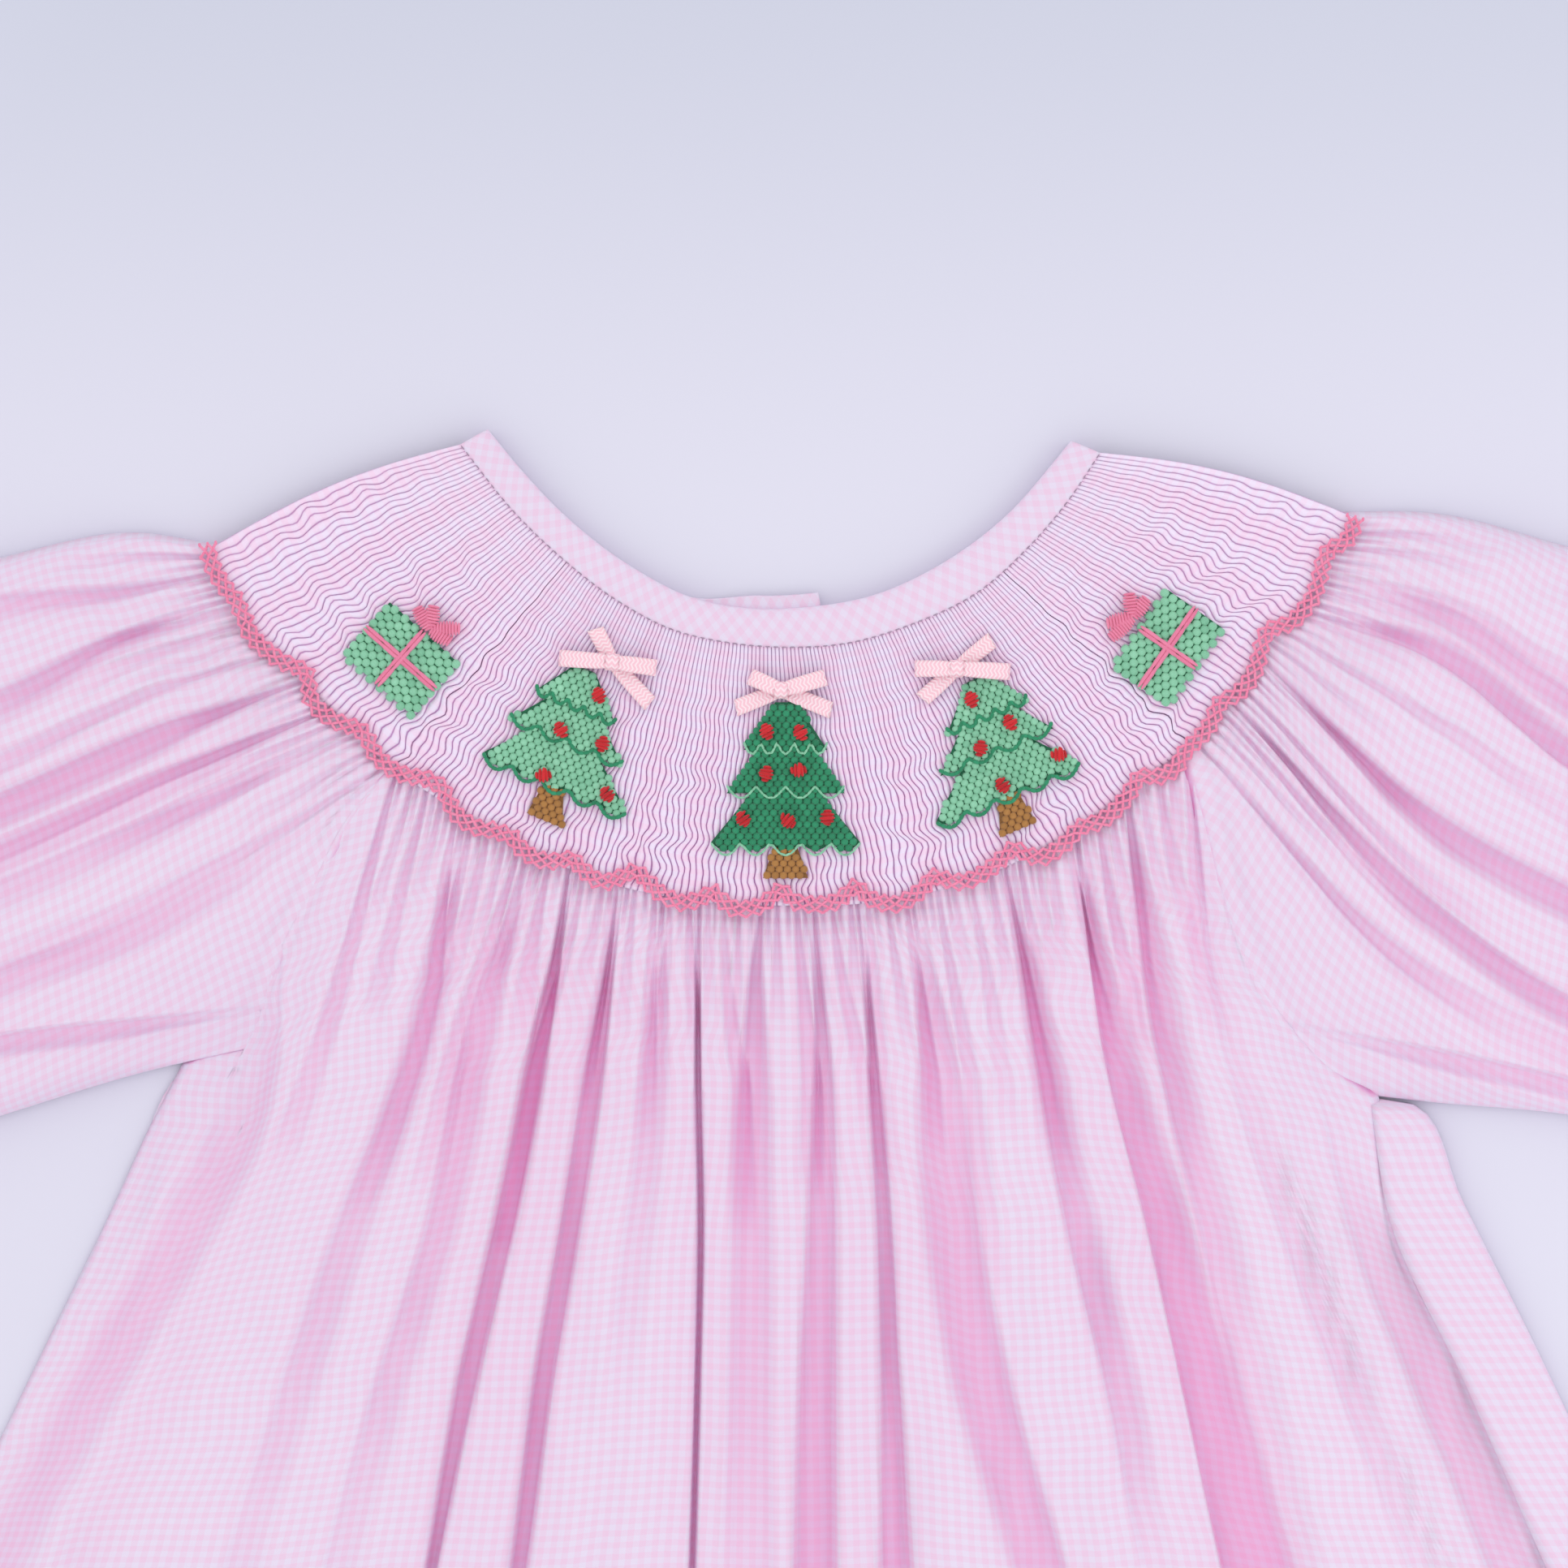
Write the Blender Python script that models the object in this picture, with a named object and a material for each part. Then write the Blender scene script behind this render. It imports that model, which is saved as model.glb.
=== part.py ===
"""A small child's bishop dress with a smocked yoke, laid flat on its back.

Every cloth panel is one closed wall. Its points stand on tracks, smooth plan lines that start at the neck
seam, cross the smocked yoke as pleats and then follow the folds down to the hem or the wrist. Sizes are in
millimetres, with X towards the wearer's left sleeve, Y from the hem to the neck and Z up from the surface
that the dress lies on.
"""

import math
from collections import namedtuple

import bmesh
import bpy
import numpy as np

MM = 0.001
WELD = 0.00001

# Walls and the gaps between pieces
CLOTH = 1.2
SEAM_GAP = 0.3
RAGLAN_GAP = 0.6
WRAP_GAP = 0.6

# Heights of what lies on what
PLACKET_UNDER = CLOTH + SEAM_GAP
YOKE_UNDER = 3.0
YOKE_TOP = 5.6
PLEAT_HEIGHT = 0.5
PLEAT_SWAY = 0.5
STITCH_UNDER = YOKE_TOP + PLEAT_HEIGHT + SEAM_GAP
STITCH_THICK = 1.1
TRIM_UNDER = STITCH_UNDER + STITCH_THICK + SEAM_GAP
EDGE_TOP = CLOTH + SEAM_GAP + CLOTH
WRAP_TOP = 5.0
SKIRT_CREST = 16.5
SKIRT_FLOOR = 7.3
SLEEVE_CREST = 22.0
CUFF_TOP = 9.0
SIDE_RISE = 40.0
FLAT_BELOW_YOKE = 8.0
YOKE_RISE = 42.0

# Heights along the raglan seams, as shares of their way from the yoke to the underarm
RAGLAN_WAY = (0.0, 0.35, 0.7, 1.0)
RAGLAN_HEIGHT = (YOKE_TOP, 9.5, 8.5, EDGE_TOP)

# Plan lines: a few points each
NECK_SEAM = ((-83, 87.5), (-69, 70), (-56.5, 58), (-42, 47), (-28.5, 40), (-15, 36.8), (1, 35.5), (16, 36.5),
             (33, 41.5), (49.5, 49.5), (62, 60.5), (72, 72), (81, 85.3))
BINDING_EDGE = ((-76.2, 91.3), (-68.5, 81.9), (-55.9, 68.7), (-39.3, 56), (-23.3, 47.9), (-8, 45.2),
                (6, 45.6), (22.5, 48.5), (39.3, 56), (58, 69.9), (69.5, 83), (73.8, 88.3))
YOKE_EDGE = ((-148, 60.5), (-139, 43), (-121, 25), (-100, 4.6), (-88, -3.4), (-71, -13), (-50, -23),
             (-25, -29), (0, -30.5), (28, -29), (52, -22.5), (76, -10), (92, 2), (104, 11), (113, 22),
             (123, 35.5), (133, 47), (140, 58), (146.8, 68.7))
RAGLAN_LEFT = ((-100, 4.6), (-111, -7), (-121.4, -27), (-130.6, -45.4), (-136, -62), (-139.7, -69))
RAGLAN_RIGHT = ((104, 11), (108, -4), (118.4, -42.6), (128.9, -61), (143.4, -75.6), (151.2, -80.9))
SKIRT_SIDE_LEFT = ((-139.7, -69), (-153.5, -72.7), (-168.6, -100.6), (-188.4, -141.3), (-202.9, -170.3),
                   (-260, -290), (-312, -396))
SKIRT_SIDE_RIGHT = ((151.2, -80.9), (163.2, -83.0), (174.9, -107.1), (194.7, -146.6), (215, -190),
                    (265, -292), (313, -396))

# The yoke bulges over the shoulders, within this share of its way round; beyond YOKE_FRONT it is the sleeves'
SHOULDER_BULGE = 3.3
SHOULDER_REACH = 0.05
YOKE_FRONT = 60.0

# The hem: its height at the middle, how far it rises at the sides and its shallow waves
HEM_Y = -402.0
HEM_RISE = 8.0
HALF_HEM = 312.0
HEM_WAVE = 1.5
HEM_WAVES = 3.2

# Tracks down the skirt front: x where the track leaves the yoke or raglan, x at each level of LEVELS and at
# the hem, how deep the trough is at each of DEPTH_LEVELS, and its half width. A depth of 0 only guides cloth.
LEVELS = (-70.0, -112.0, -154.0, -202.0)
DEPTH_LEVELS = (70.0, 150.0, 202.0)
LEVEL_CLEAR = 12.0
SkirtTrack = namedtuple("SkirtTrack", "top at_70 at_112 at_154 at_202 hem deep_high deep_mid deep_low width")
SKIRT_TRACKS = (
    SkirtTrack(-153.5, -153, -172.5, -193, -216, -308.0, 0.0, 0.0, 0.0, 4.0),
    SkirtTrack(-139.7, -141, -162, -185, -210, -296.0, 0.0, 0.0, 0.0, 4.0),
    SkirtTrack(-129.4, -133, -152, -177, -204, -284.0, 3.5, 4.0, 3.0, 7.0),
    SkirtTrack(-100.0, -121, -137, -158, -181, -252.0, 0.0, 1.5, 2.0, 6.0),
    SkirtTrack(-82.0, -95, -110.5, -125, -140, -201.0, 4.5, 4.5, 3.5, 4.5),
    SkirtTrack(-65.3, -80, -88.5, -102, -115, -166.0, 5.5, 5.0, 3.5, 4.0),
    SkirtTrack(-54.8, -63.6, -71.8, -81.7, -91, -131.0, 8.5, 9.0, 9.0, 3.4),
    SkirtTrack(-42.2, -48.5, -55, -62.2, -68.7, -98.0, 8.0, 9.0, 9.0, 3.2),
    SkirtTrack(-31.1, -33.2, -37, -42.2, -46.4, -66.0, 4.0, 2.5, 2.5, 4.0),
    SkirtTrack(-22.5, -22.7, -22.1, -23.1, -24.4, -36.0, 7.0, 8.0, 8.0, 2.6),
    SkirtTrack(-6.5, -7.6, -8.2, -8.6, -9.2, -12.0, 6.0, 5.5, 4.5, 4.2),
    SkirtTrack(7.1, 10, 9.5, 8.5, 8, 12.0, 6.0, 7.5, 8.0, 4.0),
    SkirtTrack(19.7, 23.1, 26, 27.7, 29, 44.0, 6.0, 8.0, 8.5, 3.6),
    SkirtTrack(33.4, 39.3, 42.8, 51.2, 66, 96.0, 5.5, 6.0, 6.0, 6.0),
    SkirtTrack(57.5, 65.7, 73.3, 83.8, 93, 128.0, 6.0, 5.5, 3.0, 4.0),
    SkirtTrack(74.5, 81.5, 92, 101.2, 111.7, 158.0, 8.0, 9.0, 9.0, 4.2),
    SkirtTrack(88.0, 97.5, 108, 118, 130, 188.0, 6.5, 5.0, 3.0, 4.5),
    SkirtTrack(104.0, 114.5, 127.9, 143.6, 162.5, 232.0, 5.5, 4.5, 3.0, 5.0),
    SkirtTrack(135.0, 136, 148, 166, 186, 270.0, 0.0, 4.0, 3.5, 6.0),
    SkirtTrack(151.2, 150.5, 156.5, 175.8, 197, 290.0, 0.0, 0.0, 0.0, 4.0),
)
LEFT_CORNER = 3
RIGHT_CORNER = 17

# A trough is a narrow crease in a wide dip: the crease's share of the depth, and the dip's width in creases
CREASE_SHARE = 0.7
DIP_WIDTH = 2.4

# Where the columns stand between two tracks, and the rows as shares of the way down the skirt and the yoke
SKIRT_STEPS = (0.0, 0.13, 0.31, 0.5, 0.69, 0.87)
SKIRT_ROWS = (0.0, 0.035, 0.09, 0.16, 0.25, 0.35, 0.46, 0.58, 0.71, 0.85, 1.0)
YOKE_ROWS = (0.0, 0.25, 0.5, 0.75)

# Tracks out along a sleeve, written outwards from the middle of the dress: y where the track leaves the yoke
# or raglan, y at each of SLEEVE_LEVELS, its share of the way round the cuff, and the trough's depth and width
SleeveTrack = namedtuple("SleeveTrack", "start at_166 at_203 cuff deep width")
SLEEVE_TRACKS_LEFT = (
    SleeveTrack(60.5, 63.3, 56.7, 0.0, 0.0, 4.0),
    SleeveTrack(55.5, 50.0, 45.4, 0.1, 3.0, 4.5),
    SleeveTrack(46.0, 38.0, 19.3, 0.26, 4.5, 5.0),
    SleeveTrack(27.0, 10.5, -6.1, 0.44, 8.0, 3.6),
    SleeveTrack(20.0, -3.0, -19.5, 0.54, 4.0, 5.0),
    SleeveTrack(14.5, -12.5, -28.5, 0.62, 3.5, 5.0),
    SleeveTrack(4.6, -37.0, -50.0, 0.76, 5.0, 4.5),
    SleeveTrack(-12.0, -45.0, -56.0, 0.8, 0.0, 4.0),
    SleeveTrack(-34.0, -53.0, -61.0, 0.84, 0.0, 4.0),
    SleeveTrack(-58.0, -61.0, -65.5, 0.87, 6.0, 4.0),
    SleeveTrack(-68.2, -74.6, -85.9, 1.0, 0.0, 4.0),
)
SLEEVE_TRACKS_RIGHT = (
    SleeveTrack(68.7, 68.5, 59.4, 0.0, 0.0, 4.0),
    SleeveTrack(53.0, 44.5, 20.0, 0.22, 6.5, 4.5),
    SleeveTrack(45.0, 31.0, 2.0, 0.34, 8.5, 4.0),
    SleeveTrack(33.0, -10.0, -30.0, 0.54, 8.0, 5.0),
    SleeveTrack(23.0, -33.0, -58.0, 0.7, 8.0, 4.5),
    SleeveTrack(11.0, -51.0, -68.0, 0.79, 2.5, 6.0),
    SleeveTrack(-25.0, -60.0, -72.0, 0.84, 0.0, 4.0),
    SleeveTrack(-62.0, -69.0, -77.0, 0.9, 5.5, 4.0),
    SleeveTrack(-80.0, -82.0, -85.5, 1.0, 0.0, 4.0),
)
SLEEVE_CORNER_LEFT = 6
SLEEVE_CORNER_RIGHT = 5
SLEEVE_LEVELS = (166.0, 203.0)
SLEEVE_STEPS_LEFT = (0.0, 0.25, 0.5, 0.75)
SLEEVE_STEPS_RIGHT = (0.0, 0.2, 0.4, 0.6, 0.8)
SLEEVE_ROWS = (0.0, 0.04, 0.11, 0.2, 0.31, 0.44, 0.58, 0.72, 0.86, 0.95, 1.0)
FULLEST = (300.0, 26.0, -116.0)
FOLD_INSET = 2.5
FOLD_TOP = 1.5
CORNER_EASE = 4.0

# The wrist band
CUFF_CENTRE = (368.0, -61.0)
CUFF_TILT = math.radians(16.0)
CUFF_HALF = 38.0
CUFF_DEPTH = 15.0
CUFF_SEAM = 0.5
CUFF_ROUND = 0.6
CUFF_GATHER = 0.8
CUFF_STATIONS = 40
CUFF_EASE_FROM = 250.0
CUFF_EASE_END = 356.0
CUFF_EASE = 60.0

# The back: where its halves overlap at the closing
PLACKET_HALF = 9.0
PLACKET_FLAT = 19.0
PLACKET_SLOPE = 5.0
LAP_COLUMNS = 4
BACK_COLUMNS = 12
RAGLAN_ROWS = 16
SIDE_ROWS = 20
SIDE_START = 0.032

# The neck binding
BINDING_STATIONS = 34
BINDING_UNDER = 3.1
BINDING_TOP = 5.5
BINDING_TURN = 0.02
TAB_END = 9.4
TAB_RISE = 3.6
TAB_FROM = 0.36
TAB_EASE = 0.12
UNDERLAP_END = -8.0

# The coral row
SCALLOPS = 22
SCALLOP_DEPTH = 4.4
ROW_WIDTH = 5.0
ROW_STATIONS = 6
ROW_END = 0.004

# Embroidered trees: tiers as shares of the height, with half widths as shares of the widest tier
TREE_TIERS = ((0.0, 0.14, 0.34, 0.56), (0.34, 0.36, 0.65, 0.79), (0.65, 0.46, 1.0, 1.0))
HEM_LOBES = 5
HEM_LOBE_DEPTH = 0.035
Tree = namedtuple("Tree", "name apex height half_width tilt trunk_top trunk_foot trunk_long")
TREES = (
    Tree("tree_left", (-53.0, 29.0), 32.5, 18.6, math.radians(-17), 2.6, 5.0, 8.0),
    Tree("tree_centre", (0.4, 21.0), 36.5, 19.2, 0.0, 3.0, 5.8, 7.0),
    Tree("tree_right", (48.3, 27.5), 32.5, 18.6, math.radians(20), 2.6, 5.0, 8.0),
)

# Embroidered gifts: a box with a ribbon cross and a padded bow on one corner
Gift = namedtuple("Gift", "name centre width height turn bow_at")
GIFTS = (
    Gift("gift_left", (-98.5, 32.3), 24.0, 18.4, math.radians(-41.5), (-89.2, 40.5)),
    Gift("gift_right", (98.6, 35.0), 25.2, 17.6, math.radians(55.0), (89.3, 41.5)),
)
GIFT_RIBBON = 2.2
ROSE_LOOP = 6.4
ROSE_WAIST = 1.3
ROSE_FORM = 1.5
ROSE_THICK = 1.76
ROSE_POINTS = 28

# Ribbon bows: the knot and the far ends of the four arms
Bow = namedtuple("Bow", "name knot ends")
BOWS = (
    Bow("bow_left", (-44.1, 31.3), ((-57.5, 32.3), (-48.5, 39.9), (-33.0, 29.8), (-34.4, 20.6))),
    Bow("bow_centre", (-0.8, 24.1), ((-8.6, 27.5), (-12.4, 19.5), (10.5, 27.3), (12.2, 18.9))),
    Bow("bow_right", (44.3, 29.6), ((33.8, 29.6), (53.5, 37.0), (57.8, 28.8), (35.5, 21.8))),
)
RIBBON_WIDTH = 3.2
RIBBON_THICK = 1.0
CROTCH = 0.62
KNOT_SIZE = (4.2, 3.6, 2.0)

PINK = (0.92, 0.62, 0.78)
CORAL = (0.90, 0.16, 0.26)
DARK_GREEN = (0.03, 0.26, 0.13)
MINT = (0.20, 0.57, 0.31)
BROWN = (0.36, 0.18, 0.05)
ROSE = (0.72, 0.13, 0.22)
RIBBON_PINK = (0.95, 0.55, 0.58)


class Line:
    """A smooth plan line through a few points."""

    def __init__(self, points, steps=12):
        knots = np.array(points, float)
        chord = np.concatenate([[0.0], np.cumsum(np.linalg.norm(np.diff(knots, axis=0), axis=1))])
        slope = np.gradient(knots, chord, axis=0)
        pieces = []
        for i in range(len(knots) - 1):
            t = np.linspace(0.0, 1.0, steps, endpoint=False)[:, None]
            span = chord[i + 1] - chord[i]
            begin = (2 * t**3 - 3 * t**2 + 1) * knots[i] + (t**3 - 2 * t**2 + t) * span * slope[i]
            end = (3 * t**2 - 2 * t**3) * knots[i + 1] + (t**3 - t**2) * span * slope[i + 1]
            pieces.append(begin + end)
        self.plan = np.vstack(pieces + [knots[-1:]])
        self.run = np.concatenate([[0.0], np.cumsum(np.linalg.norm(np.diff(self.plan, axis=0), axis=1))])
        self.length = self.run[-1]

    def at(self, share):
        """The point at a share of the length."""
        run = min(max(share, 0.0), 1.0) * self.length
        return np.array([np.interp(run, self.run, self.plan[:, axis]) for axis in (0, 1)])

    def share_where(self, axis, value):
        """The share of the length at which x (axis 0) or y (axis 1) has a value. It never turns back."""
        order = np.argsort(self.plan[:, axis])
        return np.interp(value, self.plan[order, axis], self.run[order]) / self.length

    def other_at(self, axis, value):
        """The other coordinate where x (axis 0) or y (axis 1) has a value."""
        order = np.argsort(self.plan[:, axis])
        return np.interp(value, self.plan[order, axis], self.plan[order, 1 - axis])

    def normal(self, share, step=0.004):
        """The unit vector to the left of the line's way."""
        way = self.at(share + step) - self.at(share - step)
        return np.array([-way[1], way[0]]) / np.linalg.norm(way)


class Sheet:
    """The outer points of a wall by key, the way to its inner side, and its faces."""

    def __init__(self):
        self.index = {}
        self.outer = []
        self.inner = []
        self.faces = []

    def add(self, key, point, inner):
        """Adds a point of the outer side under its key, with its point of the inner side."""
        self.index[key] = len(self.outer)
        self.outer.append(point)
        self.inner.append(inner)

    def face(self, *keys):
        """Adds a face between points that are named by their keys, anticlockwise from outside."""
        self.faces.append([self.index[key] for key in keys])

    def build(self, name, colour, parts):
        """Makes the closed wall: outer side, inner side and a rim along every free edge."""
        form = bmesh.new()
        tops = [form.verts.new([c * MM for c in point]) for point in self.outer]
        unders = [form.verts.new([c * MM for c in point]) for point in self.inner]
        used = {(a, b) for face in self.faces for a, b in zip(face, face[1:] + face[:1])}
        for face in self.faces:
            form.faces.new([tops[i] for i in face])
            form.faces.new([unders[i] for i in reversed(face)])
        for a, b in sorted(used):
            if (b, a) not in used:
                form.faces.new([tops[b], tops[a], unders[a], unders[b]])
        bmesh.ops.recalc_face_normals(form, faces=form.faces)
        mesh = bpy.data.meshes.new(name)
        form.to_mesh(mesh)
        form.free()
        return add_object(name, mesh, colour, parts)


def add_object(name, mesh, colour, parts):
    """Puts a mesh in the collection with a matt cloth material of its colour."""
    material = bpy.data.materials.get(name) or bpy.data.materials.new(name)
    material.use_nodes = True
    surface = material.node_tree.nodes["Principled BSDF"]
    surface.inputs["Base Color"].default_value = (*colour, 1.0)
    surface.inputs["Roughness"].default_value = 0.9
    mesh.materials.append(material)
    made = bpy.data.objects.new(name, mesh)
    parts.objects.link(made)
    return made


def blend(low, high, share):
    """The value at a share of the way between two."""
    return low + (high - low) * share


def ease(share):
    """A smooth step from 0 to 1."""
    share = min(max(share, 0.0), 1.0)
    return share * share * (3.0 - 2.0 * share)


def rounded(share):
    """A quarter of a round shoulder from 0 to 1."""
    share = min(max(share, 0.0), 1.0)
    return math.sqrt(1.0 - (1.0 - share) ** 2)


def trough(distance, width):
    """The form of one trough across its track: a narrow crease in a wide dip."""
    near = distance / width
    dip = near / DIP_WIDTH
    return CREASE_SHARE * math.exp(-near * near) + (1.0 - CREASE_SHARE) * math.exp(-dip * dip)


neck_seam = Line(NECK_SEAM)
binding_edge = Line(BINDING_EDGE)
yoke_edge = Line(YOKE_EDGE)
raglan_left = Line(RAGLAN_LEFT)
raglan_right = Line(RAGLAN_RIGHT)
side_left = Line(SKIRT_SIDE_LEFT)
side_right = Line(SKIRT_SIDE_RIGHT)


def hem_y(x):
    """The hem's height: it rises to the sides, with two shallow waves."""
    share = x / HALF_HEM
    return HEM_Y + HEM_RISE * share * share + HEM_WAVE * math.sin(HEM_WAVES * share * math.pi) ** 2


def raglan_height(way):
    """The seam's height at a share of its way down to the underarm."""
    return float(np.interp(way, RAGLAN_WAY, RAGLAN_HEIGHT))


def front_top(x):
    """The y and the height at which the skirt front starts at x: at the yoke, a raglan or an underarm."""
    if x < RAGLAN_LEFT[-1][0]:
        return side_left.other_at(0, x), EDGE_TOP
    if x < RAGLAN_LEFT[0][0]:
        return raglan_left.other_at(0, x), raglan_height(raglan_left.share_where(0, x))
    if x <= RAGLAN_RIGHT[0][0]:
        return yoke_edge.other_at(0, x), YOKE_TOP
    way = raglan_right.share_where(0, x)
    return raglan_right.other_at(0, x), raglan_height(way) if way < 1.0 else WRAP_TOP


def skirt_column(left, right, share):
    """The plan line of a column that stands at a share of the gap between two tracks."""
    mixed = SkirtTrack(*(blend(a, b, share) for a, b in zip(left, right)))
    start = (mixed.top, front_top(mixed.top)[0])
    at_levels = zip((mixed.at_70, mixed.at_112, mixed.at_154, mixed.at_202), LEVELS)
    below = [(x, y) for x, y in at_levels if y < start[1] - LEVEL_CLEAR]
    return Line([start] + below + [(mixed.hem, hem_y(mixed.hem))])


skirt_lines = [skirt_column(track, track, 0.0) for track in SKIRT_TRACKS]


def skirt_height(x, y):
    """The outer height of the skirt front at a place in plan."""
    left_edge = skirt_lines[0].other_at(1, y)
    right_edge = skirt_lines[-1].other_at(1, y)
    body = EDGE_TOP + (SKIRT_CREST - EDGE_TOP) * rounded((x - left_edge) / SIDE_RISE)
    body = min(body, WRAP_TOP + (SKIRT_CREST - WRAP_TOP) * rounded((right_edge - x) / SIDE_RISE))
    top_y, top_height = front_top(x)
    lift = ease((top_y - y - FLAT_BELOW_YOKE) / YOKE_RISE)
    floor = min(SKIRT_FLOOR, body)
    deep = 0.0
    for track, line in zip(SKIRT_TRACKS, skirt_lines):
        depth = np.interp(-y, DEPTH_LEVELS, (track.deep_high, track.deep_mid, track.deep_low))
        if depth > 0.0:
            deep += depth * trough(x - line.other_at(1, y), track.width)
    return max(blend(top_height, body, lift) - deep * lift, blend(top_height, floor, lift))


def yoke_plan(share, way):
    """A point of the yoke at a share of its way round, and a way (0 to 1) from the neck to its lower edge."""
    bulge = SHOULDER_BULGE * math.sin(math.pi * way) * math.exp(-min(share, 1.0 - share) / SHOULDER_REACH)
    return blend(neck_seam.at(share), yoke_edge.at(share), way) + np.array([0.0, bulge])


def pleat_sway(row, pitch):
    """How far the pleats lean at a row, first to one side and then to the other."""
    return (0.5 if row % 2 else -0.5) * PLEAT_SWAY * pitch if row else 0.0


def pleat_height(number):
    """The height of a pleat's crest or of the valley beside it."""
    return YOKE_TOP + (PLEAT_HEIGHT if number % 2 else -PLEAT_HEIGHT)


def add_pleats(sheet, shares, keys):
    """Adds the smocked yoke above row 0: every other column is a pleat, and the pleats sway by row."""
    pitch = (shares[-1] - shares[0]) / (len(shares) - 1)
    for row, way in enumerate(YOKE_ROWS):
        for number, (share, key) in enumerate(zip(shares, keys)):
            sway = pleat_sway(row, pitch) if 0 < number < len(keys) - 1 else 0.0
            x, y = yoke_plan(share + sway, way)
            sheet.add((row - len(YOKE_ROWS), key), (x, y, pleat_height(number)), (x, y, YOKE_UNDER))
    for row in range(-len(YOKE_ROWS), 0):
        for a, b in zip(keys, keys[1:]):
            sheet.face((row, a), (row + 1, a), (row + 1, b), (row, b))


def lower_side(points, faces, thickness, held):
    """The inner points of a wall: its outer points moved in along their normals, or along a held way."""
    normals = np.zeros((len(points), 3))
    places = np.array(points)
    for face in faces:
        corners = places[face]
        normal = np.cross(corners[2] - corners[0], corners[-1] - corners[1])
        for i in face:
            normals[i] += normal
    lengths = np.linalg.norm(normals, axis=1)
    normals[lengths > 0] /= lengths[lengths > 0, None]
    inner = places - normals * thickness
    for i, way in held.items():
        inner[i] = places[i] + np.array(way) * thickness
    return [tuple(point) for point in inner]


def make_front(parts):
    """The front panel: smocked between the raglan seams, then falling in folds to the hem."""
    sheet = Sheet()
    columns = []
    for number, (left, right) in enumerate(zip(SKIRT_TRACKS, SKIRT_TRACKS[1:])):
        columns += [(number + step, skirt_column(left, right, step)) for step in SKIRT_STEPS]
    columns.append((len(SKIRT_TRACKS) - 1.0, skirt_lines[-1]))
    held = {}
    for row, way in enumerate(SKIRT_ROWS):
        for place, line in columns:
            x, y = line.at(way)
            sheet.add((row, place), (x, y, skirt_height(x, y)), None)
            if row in (0, len(SKIRT_ROWS) - 1) or place in (columns[0][0], columns[-1][0]):
                held[sheet.index[row, place]] = (0, 0, -1)
    smocked = [(place, line) for place, line in columns if LEFT_CORNER <= place <= RIGHT_CORNER]
    keys = []
    for (place, line), (next_place, next_line) in zip(smocked, smocked[1:]):
        middle = blend(place, next_place, 0.5)
        keys += [place, middle]
        x = blend(line.at(0)[0], next_line.at(0)[0], 0.5)
        sheet.add((0, middle), (x, yoke_edge.other_at(0, x), YOKE_TOP + PLEAT_HEIGHT), None)
        held[sheet.index[0, middle]] = (0, 0, -1)
    keys.append(smocked[-1][0])
    for row in range(len(SKIRT_ROWS) - 1):
        for (a, _), (b, _) in zip(columns, columns[1:]):
            middle = (0, blend(a, b, 0.5))
            edge = [middle] if row == 0 and middle in sheet.index else []
            sheet.face((row, a), (row + 1, a), (row + 1, b), (row, b), *edge)
    sheet.inner = lower_side(sheet.outer, sheet.faces, CLOTH, held)
    for key in keys:
        x, y, _ = sheet.outer[sheet.index[0, key]]
        sheet.inner[sheet.index[0, key]] = (x, y, YOKE_UNDER)
    shares = [yoke_edge.share_where(0, sheet.outer[sheet.index[0, key]][0]) for key in keys]
    add_pleats(sheet, shares, keys)
    return sheet.build("front", PINK, parts)


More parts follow.
